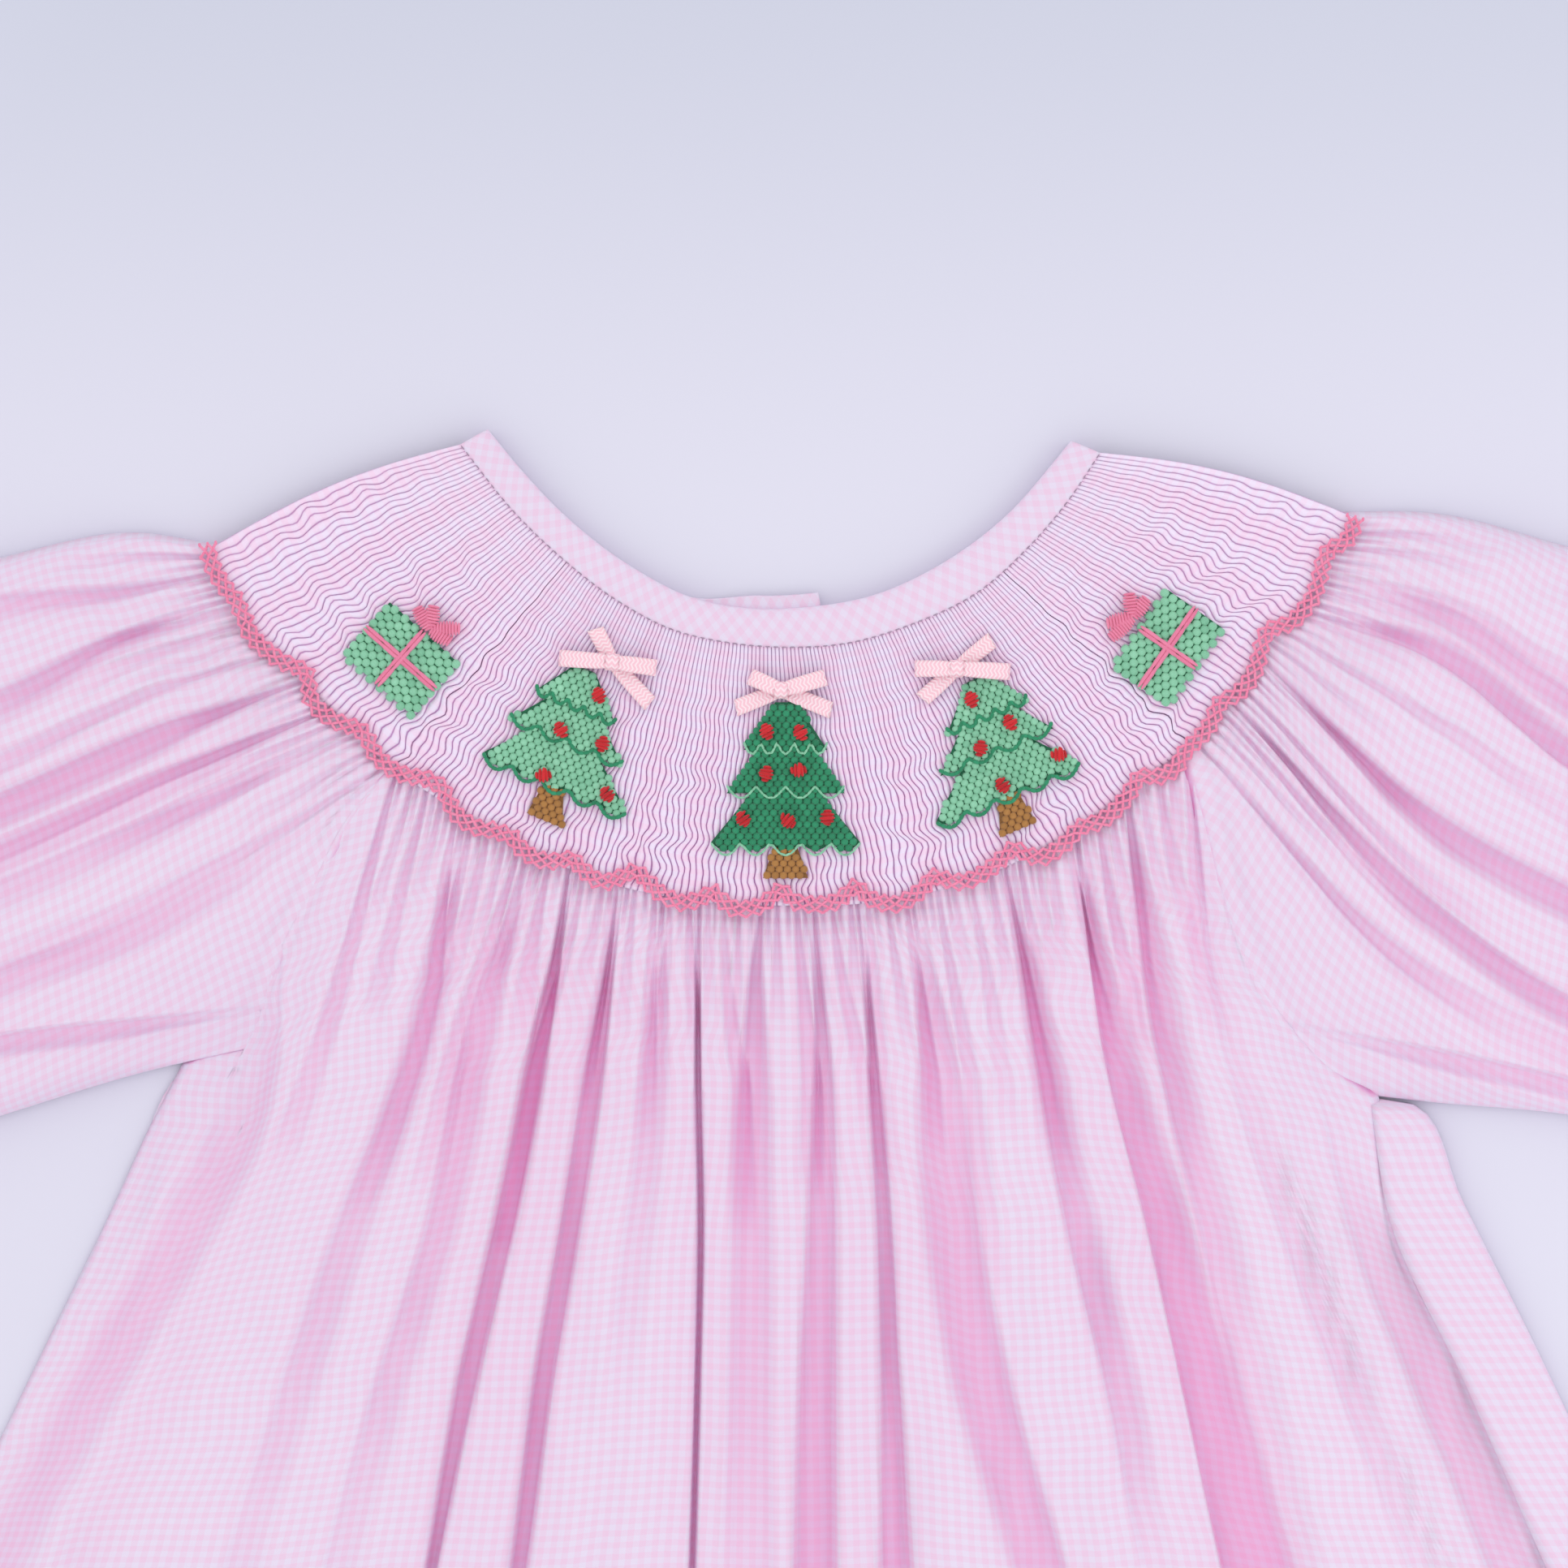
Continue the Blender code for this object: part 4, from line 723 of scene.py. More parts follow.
class Finishes:
    """The dress's materials."""

    def __init__(self) -> None:
        """Makes the cloths, the threads and the ribbon."""
        self.gingham = Gingham().material()
        # The smocked cloth's deep colour is the painted shade of its pleat valleys.
        self.smocked = Gingham("smocked_gingham_cotton", "#EBE9FB", "#F4CFE8", "#D39BD0", 0.42).material()
        self.bias = Gingham("bias_cut_gingham_cotton", contrast=0.48, turned=True).material()
        self.coral = Floss("coral_stranded_cotton", "#FFA6C6", "#F76A9C").material()
        self.green = Floss("dark_green_stranded_cotton", "#37A97A", "#175F40").material()
        self.mint = Floss("mint_stranded_cotton", "#A9EBC7", "#4EA079").material()
        self.brown = Floss("brown_stranded_cotton", "#C9914F", "#7E562D").material()
        self.red = Floss("red_stranded_cotton", "#EA2C34", "#A8141B").material()
        self.rose = Floss("rose_stranded_cotton", "#FF9DBD", "#DF6690").material()
        self.mauve = Floss("mauve_sewing_thread", "#BFA9BF", "#8E7590").material()
        self.ribbon = Grosgrain().material()


def dress(piece: bpy.types.Object, material: bpy.types.Material, slot: str, *nodes: str) -> bpy.types.Object:
    """Gives a piece its material, makes it ride with the dress and hides the solids of the nodes it stands for.
    """
    piece.data.materials.clear()
    piece.data.materials.append(material)
    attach(piece, "root")
    if nodes:
        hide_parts(*nodes)
    return piece


def hem_y(x: Array) -> Array:
    """Returns the hem's height by x."""
    share = x / HALF_HEM
    return HEM_Y + HEM_RISE * share * share + HEM_WAVE * np.sin(HEM_WAVES * share * np.pi) ** 2


def raglan_height(way: Array) -> Array:
    """Returns a raglan seam's height at shares of its way down."""
    return np.interp(way, RAGLAN_WAY, RAGLAN_HEIGHT)


def spring(below: Array) -> Array:
    """Returns how far the cloth has risen to its full height, by the distance below the yoke."""
    beyond = below - FLAT_BELOW_YOKE
    return 0.75 * ease(beyond / YOKE_RISE) + 0.25 * rounded(beyond / SHOULDER_RISE)


def front_top(x: Array) -> tuple:
    """Returns the y and the height at which the skirt front starts, by x."""
    x = np.asarray(x, float)
    y = yoke_edge.other_at(0, x)
    z = np.full(x.shape, YOKE_TOP)
    left = x < RAGLAN_LEFT[0][0]
    y = np.where(left, raglan_left.other_at(0, x), y)
    z = np.where(left, raglan_height(raglan_left.share_where(0, x)), z)
    far = x < RAGLAN_LEFT[-1][0]
    y = np.where(far, side_left.other_at(0, x), y)
    z = np.where(far, EDGE_TOP, z)
    right = x > RAGLAN_RIGHT[0][0]
    way = raglan_right.share_where(0, x)
    y = np.where(right, raglan_right.other_at(0, x), y)
    z = np.where(right, np.where(way < 1.0, np.maximum(raglan_height(way), WRAP_TOP), WRAP_TOP), z)
    return y, z


@dataclass
class Gathers:
    """The small valleys that leave the smocking: they fade one by one, and those that are left grow wider."""

    pitch: float = 2.3
    deep: float = 1.6
    reach: tuple = (15.0, 32.0, 56.0, 90.0)
    width: float = 0.34

    def valleys(self, starts: Array, guide: Callable, seed: int) -> list:
        """Makes the valleys.

        Args:
            starts: the places along the row at which gathers start, a pitch apart.
            guide: gives a gather's line: from a start and distances from the row to (along, across).
            seed: for the gathers' uneven lengths.

        Returns:
            The valleys, one a start.
        """
        rng = np.random.default_rng(seed)
        step = starts[1] - starts[0]
        made = []
        for number, start in enumerate(starts):
            level = min(3, (number & -number).bit_length() - 1) if number else 3
            if rng.random() < 0.25:
                level = max(0, level - 1)
            length = self.reach[level] * (0.75 + 0.5 * rng.random())
            away = np.concatenate([[-4.0], np.linspace(0.0, length, 15)])
            along, across = guide(start + rng.normal(0.0, 0.14) * step, away)
            along = np.broadcast_to(along, away.shape)
            drift = rng.normal(0.0, 1.1) * np.clip(away / 30.0, 0.0, 1.5) ** 2
            share = np.clip(away / length, 0.0, 1.0)
            swell = 1.0 + 0.55 * level * share
            deep = self.deep * (0.8 + 0.4 * rng.random()) * np.sqrt(1.0 - share**2)
            deep = deep * swell * (1.0 - 0.5 * share)
            floor = self.width * (0.4 + 2.2 * level * share)
            soft = self.width * (1.8 + (1.2 + 1.7 * level) * share)
            order = np.argsort(along)
            made.append(Valley(along[order], (across + drift)[order], deep[order], floor[order], floor[order],
                               soft[order], soft[order], dip=0.0))
        return made


def ridges(along: Array, across: Array, seed: int, size: float, wave: float, count: int = 9) -> Array:
    """Returns soft irregular undulations of the cloth, long along the folds.

    Args:
        along: the places' distance along the folds.
        across: their distance across them.
        seed: for the undulations' places.
        size: their height.
        wave: their usual width.
        count: how many waves are laid over each other.

    Returns:
        The heights, about zero.
    """
    rng = np.random.default_rng(seed)
    total = np.zeros(np.broadcast(along, across).shape)
    for _ in range(count):
        width = wave * (0.6 + 0.9 * rng.random())
        lengthwise = wave * (5.0 + 9.0 * rng.random())
        phase = rng.random(2) * 2.0 * np.pi
        sway = 1.6 * np.sin(2 * np.pi * along / lengthwise + phase[1])
        total += np.sin(2 * np.pi * across / width + phase[0] + sway)
    return size * total / math.sqrt(count)


def tucked(points: Array, shade: Array, reach: float = 2.2, low: float = 1.3) -> tuple:
    """Adds a first row that carries the cloth under its neighbour.

    Args:
        points: the rows of points.
        shade: their painted fold shade.
        reach: how far the new row lies behind the first.
        low: how far it lies below it.

    Returns:
        The points and the painted fold shades with the new row, which is fully shaded.
    """
    way = points[1] - points[0]
    way[:, 2] = 0.0
    way /= np.maximum(np.linalg.norm(way, axis=1, keepdims=True), 1e-6)
    first = points[0] - way * reach
    first[:, 2] = np.maximum(points[0, :, 2] - low, 0.6)
    return np.concatenate([first[None], points]), np.concatenate([np.ones((1, points.shape[1])), shade])


class FrontSkirt:
    """The front panel below the smocking: gathers, folds and the hem.

    Lengths are in millimetres. The waves are given by height and width, and the painted fold shades by the
    power of a fold's depth and the share of a gather.
    """

    columns_a_mm = 1.15
    bunching = 0.055
    coarse_step = 4.4
    tuck = 2.2
    tuck_deep = 1.7
    guide_count = 8
    long = 372.0
    lowest = 2.2
    first_depth = 0.2
    folds_grown = 32.0
    waves = (0.5, 15.0)
    shades = (1.6, 0.55)

    def __init__(self) -> None:
        """Lays out the folds' lines and the gathers."""
        self.lines = [self.line(fold, fold, 0.0) for fold in SKIRT_FOLDS]
        self.valleys = [self.valley(fold, line) for fold, line in zip(SKIRT_FOLDS, self.lines)
                        if max(fold.deep) > 0]
        gathers = Gathers()
        half = (CORNER_SHARE_RIGHT - CORNER_SHARE_LEFT) * yoke_edge.length
        starts = np.arange(0.3, half / gathers.pitch) * gathers.pitch / yoke_edge.length + CORNER_SHARE_LEFT
        self.gathers = gathers.valleys(starts, self.gather_line, SEED)

    def line(self, left: Fold, right: Fold, share: float) -> PlanLine:
        """Returns the plan line that stands at a share of the gap between two folds."""
        plan = [blend(left[i], right[i], share) for i in range(6)]
        start = (plan[0], float(front_top(plan[0])[0]))
        first = min(LEVELS[0], start[1] - 12.0)
        first_x = float(np.interp(first, LEVELS[::-1], plan[4:0:-1]))
        below = [(first_x, first)] + list(zip(plan[2:5], LEVELS[1:]))
        return PlanLine([start] + below + [(plan[5], float(hem_y(plan[5])))])

    def valley(self, fold: Fold, line: PlanLine) -> Valley:
        """Returns the valley that a fold makes."""
        plan = line.at(np.linspace(0.0, 1.0, VALLEY_STEPS))
        along = -plan[:, 1]
        deep, *floors = (np.interp(along, DEPTH_LEVELS, values)
                         for values in (fold.deep, fold.floor_left, fold.floor_right))
        widths = opening(along, NARROW_REACH_SKIRT, floors, (fold.soft_left, fold.soft_right))
        return Valley(along, plan[:, 0], deep, *widths, fold.lean)

    def gather_line(self, share: float, away: Array) -> tuple:
        """Returns a gather's line, which follows the folds beside it."""
        x, y = yoke_edge.at(share)
        level = y - away
        tracks = np.array([line.other_at(1, level) for line in self.lines])
        return -level, beside(x, [fold.top for fold in SKIRT_FOLDS], tracks, away)

    def height(self, x: Array, y: Array) -> tuple:
        """Works out the cloth's outer height.

        Args:
            x: the places' x.
            y: their y.

        Returns:
            The height, the shift across and the painted fold shade from 0 to 1.
        """
        left_edge = self.lines[0].other_at(1, y)
        right_edge = self.lines[-1].other_at(1, y)
        body = blend(EDGE_TOP - 0.9, SKIRT_CREST, rounded((x - left_edge) / SIDE_RISE))
        inward = (right_edge - x - 1.5) / SIDE_RISE
        body = np.minimum(body, blend(WRAP_TOP, SKIRT_CREST, 0.5 * rounded(inward) + 0.5 * ease(inward)))
        top_y, top_height = front_top(x)
        below = top_y - y
        drop, shift = folded(self.valleys, -y, x)
        small = gathered(self.gathers, -y, x, below)
        started = blend(self.first_depth, 1.0, ease(below / self.folds_grown))
        surface = blend(top_height, body, spring(below))
        wavy = ridges(-y, x, SEED + 1, *self.waves) * ease(below / 40.0)
        full = drop * started + small * np.clip(0.7 + below / 8.0, 0.0, 1.0)
        z = surface - np.clip(full, 0.0, np.maximum(surface - self.lowest, 0.0)) + wavy
        return z, shift * started, painted_fold_shade(drop * started, small, *self.shades)

    def columns(self) -> Array:
        """Returns the columns' places among the folds, closer together at the folds."""
        fine = []
        for number, gap in enumerate(np.diff([fold.at_112 for fold in SKIRT_FOLDS])):
            count = 2 * max(8, round(gap * self.columns_a_mm))
            step = np.arange(count) / count
            fine.append(number + step - self.bunching * np.sin(2 * np.pi * step))
        return np.concatenate([*fine, [len(SKIRT_FOLDS) - 1.0]])

    def build(self, finish: Finishes) -> bpy.types.Object:
        """Makes the panel."""
        last = len(SKIRT_FOLDS) - 1
        places = np.arange(last * self.guide_count + 1) / self.guide_count
        guides = [self.line(SKIRT_FOLDS[int(place)], SKIRT_FOLDS[min(int(place) + 1, last)], place % 1.0)
                  for place in places]
        downs = row_ways(self.long, round((self.long - FINE_REACH) / self.coarse_step))
        plan = fanned(walked(guides, downs), places, self.columns())
        z, shift, shade = self.height(plan[..., 0], plan[..., 1])
        points = np.dstack([plan[..., 0] + shift, plan[..., 1], z])
        under = np.array([self.tuck, 0.0, self.tuck_deep])
        left = points[:, :1] - under
        right = points[:, -1:] + under * np.array([1.0, 1.0, -1.0])
        points = np.concatenate([left, left * 0.5 + points[:, :1] * 0.5, points,
                                 right * 0.5 + points[:, -1:] * 0.5, right], axis=1)
        points, shade = tucked(points, np.pad(shade, ((0, 0), (2, 2))))
        down = np.pad(plan[..., 2], ((0, 0), (2, 2)), mode="edge")
        down = np.concatenate([down[:1] + self.tuck, down])
        uv = np.dstack([Cloth.weft_run(points, down), down])
        piece = self.weave(points, uv, shade, np.count_nonzero(downs < FINE_REACH) + 1)
        Cloth.thicken(piece)
        return dress(piece, finish.gingham, "gingham_cotton", "front")

    @staticmethod
    def weave(points: Array, uv: Array, shade: Array, fine_rows: int) -> bpy.types.Object:
        """Makes the mesh: fine rows with every column, and below them every second column."""
        rows, columns = points.shape[:2]
        if columns % 2 == 0:
            raise ValueError("the columns have to pair up")
        index = -np.ones((rows, columns), int)
        index[:fine_rows] = np.arange(fine_rows * columns).reshape(fine_rows, columns)
        coarse = np.arange(0, columns, 2)
        count = fine_rows * columns
        rest = (rows - fine_rows) * len(coarse)
        index[fine_rows:, coarse] = count + np.arange(rest).reshape(-1, len(coarse))
        faces = Cloth.grid_faces(fine_rows, columns)
        for a in coarse[:-1]:
            top, low = index[fine_rows - 1], index[fine_rows]
            faces.append(tuple(int(i) for i in (top[a], low[a], low[a + 2], top[a + 2], top[a + 1])))
        faces += Cloth.grid_faces(rows - fine_rows, len(coarse), first=count)
        keep = index >= 0
        order = np.argsort(index[keep])
        return Cloth.mesh("front_skirt", points[keep][order], faces, uv[keep][order], shade[keep][order])


PLEAT_SHARES = (0.0, CORNER_SHARE_LEFT, CORNER_SHARE_RIGHT, 1.0)
PLEAT_NUMBERS = (0.0, 36.0, 160.0, 196.0)
PLEATED = (("front", 36, 160), ("sleeve_left", 0, 36), ("sleeve_right", 160, 196))
PLEAT_PLACES = (0.0, 0.15, 0.5, 0.85)
PLEAT_CREST = (0.0, 0.76, 1.0, 0.76)
PLEAT_LONG = 67.0


@dataclass
class Smocking:
    """The pleated yoke of one panel: fine pleats that fan out from the neck and sway between the rows."""

    name: str
    first: int
    last: int
    rows: int = 60
    height: float = 0.95
    check_drift: float = 0.37
    cloth: float = 0.3
    mean_crest: float = 0.72

    def build(self, finish: Finishes, node: str) -> bpy.types.Object:
        """Makes the pleats, which stand for a part of a node's solid."""
        pleats = np.arange(self.first, self.last)
        number = np.append((pleats[:, None] + np.array(PLEAT_PLACES)).ravel(), float(self.last))
        crest = np.append(np.tile(PLEAT_CREST, len(pleats)), 0.0)
        way = np.linspace(-0.012, 1.012, self.rows)
        number_grid, way_grid = np.meshgrid(number, way)
        crest_grid = np.broadcast_to(crest, number_grid.shape)
        points = self.lay(number_grid, way_grid, crest_grid)
        uv = np.dstack([number_grid * self.check_drift, (1.0 - way_grid) * PLEAT_LONG + FrontSkirt.long])
        faces = Cloth.grid_faces(self.rows, len(number))
        # Painted shade in the pleat valleys, lighter near the neck and towards the shoulders
        shade = (1.0 - np.clip(crest_grid * 1.3, 0.0, 1.0)) * blend(0.5, 1.0, ease(way_grid / 0.5))
        shade *= self.middle(number_grid)
        piece = Cloth.mesh(self.name, points, faces, uv, shade)
        Cloth.thicken(piece, self.cloth)
        return dress(piece, finish.smocked, "gingham_cotton", node)

    @staticmethod
    def middle(number: Array) -> Array:
        """Returns how marked a pleat is, in height and painted shade: most at the front's middle, least at the
        shoulders.
        """
        return 1.12 - 0.36 * (2.0 * number / PLEAT_NUMBERS[-1] - 1.0) ** 2

    def lay(self, number: Array, way: Array, crest: Array) -> Array:
        """Lays points of the yoke in pleats.

        Args:
            number: the points' places counted in pleats from the left shoulder.
            way: their way from the neck seam to the lower edge.
            crest: 1 on a pleat's crest and 0 in the valley beside it.

        Returns:
            The points.
        """
        along = way * PLEAT_LONG
        slow = 0.35 * np.sin(number * 0.19) + 0.25 * np.sin(number * 0.083 + 1.0)
        wander = (0.40 * np.sin(2 * np.pi * (along / 12.5 + 0.035 * number + slow))
                  + 0.24 * np.sin(2 * np.pi * (along / 7.4 - 0.06 * number) + 1.4 * np.sin(number * 0.47))
                  + 0.07 * np.sin(2 * np.pi * along / 4.7 + number * 1.9))
        held = np.clip(way * 6.0, 0.0, 1.0) * np.clip((1.0 - way) * 14.0, 0.0, 1.0)
        strength = 0.45 + 0.75 * ease((way - 0.1) / 0.6)
        strength = strength * (0.75 + 0.35 * np.sin(number * 0.31 + along * 0.05))
        edge = np.clip(np.minimum(number, PLEAT_NUMBERS[-1] - number) / 2.0, 0.0, 1.0)
        share = np.interp(number + wander * held * strength * edge, PLEAT_NUMBERS, PLEAT_SHARES)
        plan = blend(neck_seam.at(share), yoke_edge.at(share), way[..., None])
        near_end = np.minimum(share, 1.0 - share)
        bulge = np.sin(np.pi * np.clip(way, 0.0, 1.0)) * np.exp(-near_end / SHOULDER_REACH)
        uneven = 0.85 + 0.22 * np.sin(np.floor(number + 0.001) * 2.4 + along * 0.11)
        z = YOKE_TOP + self.height * (crest - self.mean_crest) * uneven * self.middle(number)
        return np.dstack([plan[..., 0], plan[..., 1] + SHOULDER_BULGE * bulge, z])


class Sleeve:
    """A sleeve below the smocking: its folded top, its full arm, its plain underside and its wrist.

    Its numbers mean what they do in FrontSkirt.
    """

    guides_a_fold = 6
    columns = 330
    under_columns = 70
    coarse_rows = 62
    tuck = 5.0
    tuck_deep = 1.6
    lowest = 2.6
    first_depth = 0.12
    folds_grown = 36.0
    waves = (0.5, 19.0)
    shades = (1.5, 0.45)
    shallower = 0.72

    def __init__(self, side: Side, folds: tuple, corner: int, raglan: PlanLine, seed: int) -> None:
        """Lays out the folds' lines and gathers.

        Args:
            side: the side of the dress.
            folds: the sleeve's folds from the top line down.
            corner: which fold starts where the raglan seam meets the yoke.
            raglan: the raglan seam.
            seed: for the uneven gathers and ridges.
        """
        self.side = side.value
        self.name = side.named("sleeve")
        self.folds = folds
        self.corner = corner
        self.raglan = raglan
        self.seed = seed
        self.lines = [self.line(float(i)) for i in range(len(folds))]
        self.valleys = [self.valley(fold, line) for fold, line in zip(folds, self.lines) if fold.deep > 0]
        gathers = Gathers(deep=1.5)
        low, high = folds[corner].start, folds[0].start
        count = int(1.3 * (high - low) / gathers.pitch)
        self.gathers = gathers.valleys(np.linspace(low + 1.0, high - 2.0, count), self.gather_line, seed)

    def start(self, y: Array) -> tuple:
        """Returns the outward distance at which the sleeve starts, and the seam's height, by y."""
        half = yoke_edge.plan[:, 0] * self.side > 60.0
        order = np.argsort(yoke_edge.plan[half, 1])
        out = np.interp(y, yoke_edge.plan[half, 1][order], np.abs(yoke_edge.plan[half, 0][order]))
        below = y < self.folds[self.corner].start
        seam = np.where(below, np.abs(self.raglan.other_at(1, y)) - 0.8, out)
        height = np.where(below, raglan_height(self.raglan.share_where(1, y)), YOKE_TOP)
        return seam, height

    def line(self, place: float) -> PlanLine:
        """Returns the plan line of a place among the folds, written outwards."""
        low = self.folds[int(place)]
        high = self.folds[min(int(place) + 1, len(self.folds) - 1)]
        start, at_166, at_203, cuff = (blend(low[i], high[i], place - int(place)) for i in range(4))
        points = [(float(self.start(start)[0]), start)]
        points += list(zip(SLEEVE_LEVELS, (at_166, at_203)))
        points.append((FULLEST[0], blend(FULLEST[1], FULLEST[2], cuff)))
        points.append(cuff_point(cuff, 0.0))
        return PlanLine(points)

    def valley(self, fold: SleeveFold, line: PlanLine) -> Valley:
        """Returns the valley that a fold makes, with across counted downwards."""
        plan = line.at(np.linspace(0.0, 1.0, VALLEY_STEPS))
        along = plan[:, 0]
        closing = ease((CUFF_CENTRE[0] - 6.0 - along) / 70.0)
        deep = self.shallower * fold.deep * (0.25 + 0.75 * closing)
        widths = opening(along, NARROW_REACH_SLEEVE, (fold.floor_up, fold.floor_down),
                         (fold.soft_up, fold.soft_down))
        return Valley(along, -plan[:, 1], deep, *widths, fold.lean)

    def gather_line(self, y: float, away: Array) -> tuple:
        """Returns a gather's line out of the smocking."""
        out = float(self.start(y)[0]) + away
        tracks = np.array([line.other_at(0, out) for line in self.lines])[::-1]
        return out, -beside(y, [fold.start for fold in self.folds][::-1], tracks, away)

    def height(self, x: Array, y: Array) -> tuple:
        """Works out the upper side's height, its shift and its painted fold shade."""
        top = self.lines[0].other_at(0, x) - y
        low = y - self.lines[-1].other_at(0, x)
        start, seam = self.start(y)
        beyond = x - start
        body = blend(EDGE_TOP + 1.5, SLEEVE_CREST, rounded(top / SIDE_RISE))
        body = np.minimum(body, blend(EDGE_TOP - 0.9, SLEEVE_CREST, rounded(low / SIDE_RISE)))
        drop, shift = folded(self.valleys, x, -y)
        small = gathered(self.gathers, x, -y, beyond) * ease(low / 8.0) * ease(top / 3.0)
        started = blend(self.first_depth, 1.0, ease(beyond / self.folds_grown))
        closing = ease((CUFF_CENTRE[0] - 8.0 - x) / 60.0)
        surface = blend(seam, body, spring(beyond))
        surface = np.where(x > 250.0, blend(CUFF_TOP, surface, closing), surface)
        wrist = (1.0 - closing) * 0.9 * np.sin(y * 1.9)
        full = drop * started * closing + small * np.clip(0.7 + beyond / 8.0, 0.0, 1.0)
        z = surface - np.clip(full, 0.0, np.maximum(surface - self.lowest, 0.0))
        z += ridges(x, y, self.seed + 7, *self.waves) * started * ease(low / 12.0) * ease(top / 8.0) + wrist
        return np.maximum(z, 1.4), -shift * started, painted_fold_shade(drop * started, small, *self.shades)

    def build(self, finish: Finishes) -> bpy.types.Object:
        """Makes the sleeve as one tube, open at the wrist."""
        last = len(self.folds) - 1
        guide_places = np.linspace(0.0, last, last * self.guides_a_fold + 1)
        guides = [self.line(place) for place in guide_places]
        downs = row_ways(max(guide.length for guide in guides), self.coarse_rows)
        plan = fanned(walked(guides, downs), guide_places, np.linspace(0.0, last, self.columns))
        z, shift, shade = self.height(plan[..., 0], plan[..., 1])
        z[:, 0] = np.minimum(z[:, 0], 4.2)
        upper = np.dstack([plan[..., 0], plan[..., 1] + shift, z])
        sparse = np.unique(np.linspace(0, self.columns - 1, self.under_columns).astype(int))[::-1]
        x, y = plan[:, sparse, 0], plan[:, sparse, 1]
        lower = np.dstack([x, y, 0.35 + 0.35 * np.sin(y * 0.5 + x * 0.07) ** 2])
        lower[:, 0, 2] = 0.9
        roll = upper[:, :1].copy()
        roll[..., 1] += 1.6
        roll[..., 2] = 2.2
        strip = np.concatenate([lower, roll, upper], axis=1)
        flat = np.zeros((len(downs), len(sparse) + 1))
        strip, shade = tucked(strip, np.concatenate([flat, shade], axis=1), self.tuck, self.tuck_deep)
        down = np.concatenate([plan[:, sparse, 2], plan[:, :1, 2], plan[..., 2]], axis=1)
        down = np.concatenate([down[:1] + self.tuck, down])
        strip[..., 0] *= self.side
        if self.side < 0:
            strip, down, shade = strip[:, ::-1], down[:, ::-1], shade[:, ::-1]
        faces = Cloth.grid_faces(len(strip), strip.shape[1], closed=True)
        uv = np.dstack([Cloth.weft_run(strip, down), down])
        piece = Cloth.mesh(f"{self.name}_cloth", strip, faces, uv, shade)
        recalculate(piece)
        Cloth.thicken(piece)
        return dress(piece, finish.gingham, "gingham_cotton", self.name)


def cuff_point(share: float, along: float) -> tuple:
    """Returns an outward place at a share of the wrist line and a way along the cuff."""
    across = CUFF_HALF * (1.0 - 2.0 * share)
    x = CUFF_CENTRE[0] + math.sin(CUFF_TILT) * across + math.cos(CUFF_TILT) * along
    y = CUFF_CENTRE[1] + math.cos(CUFF_TILT) * across - math.sin(CUFF_TILT) * along
    return x, y


def recalculate(piece: bpy.types.Object) -> None:
    """Turns a piece's faces outwards."""
    form = bmesh.new()
    form.from_mesh(piece.data)
    bmesh.ops.recalc_face_normals(form, faces=form.faces)
    form.to_mesh(piece.data)
    form.free()


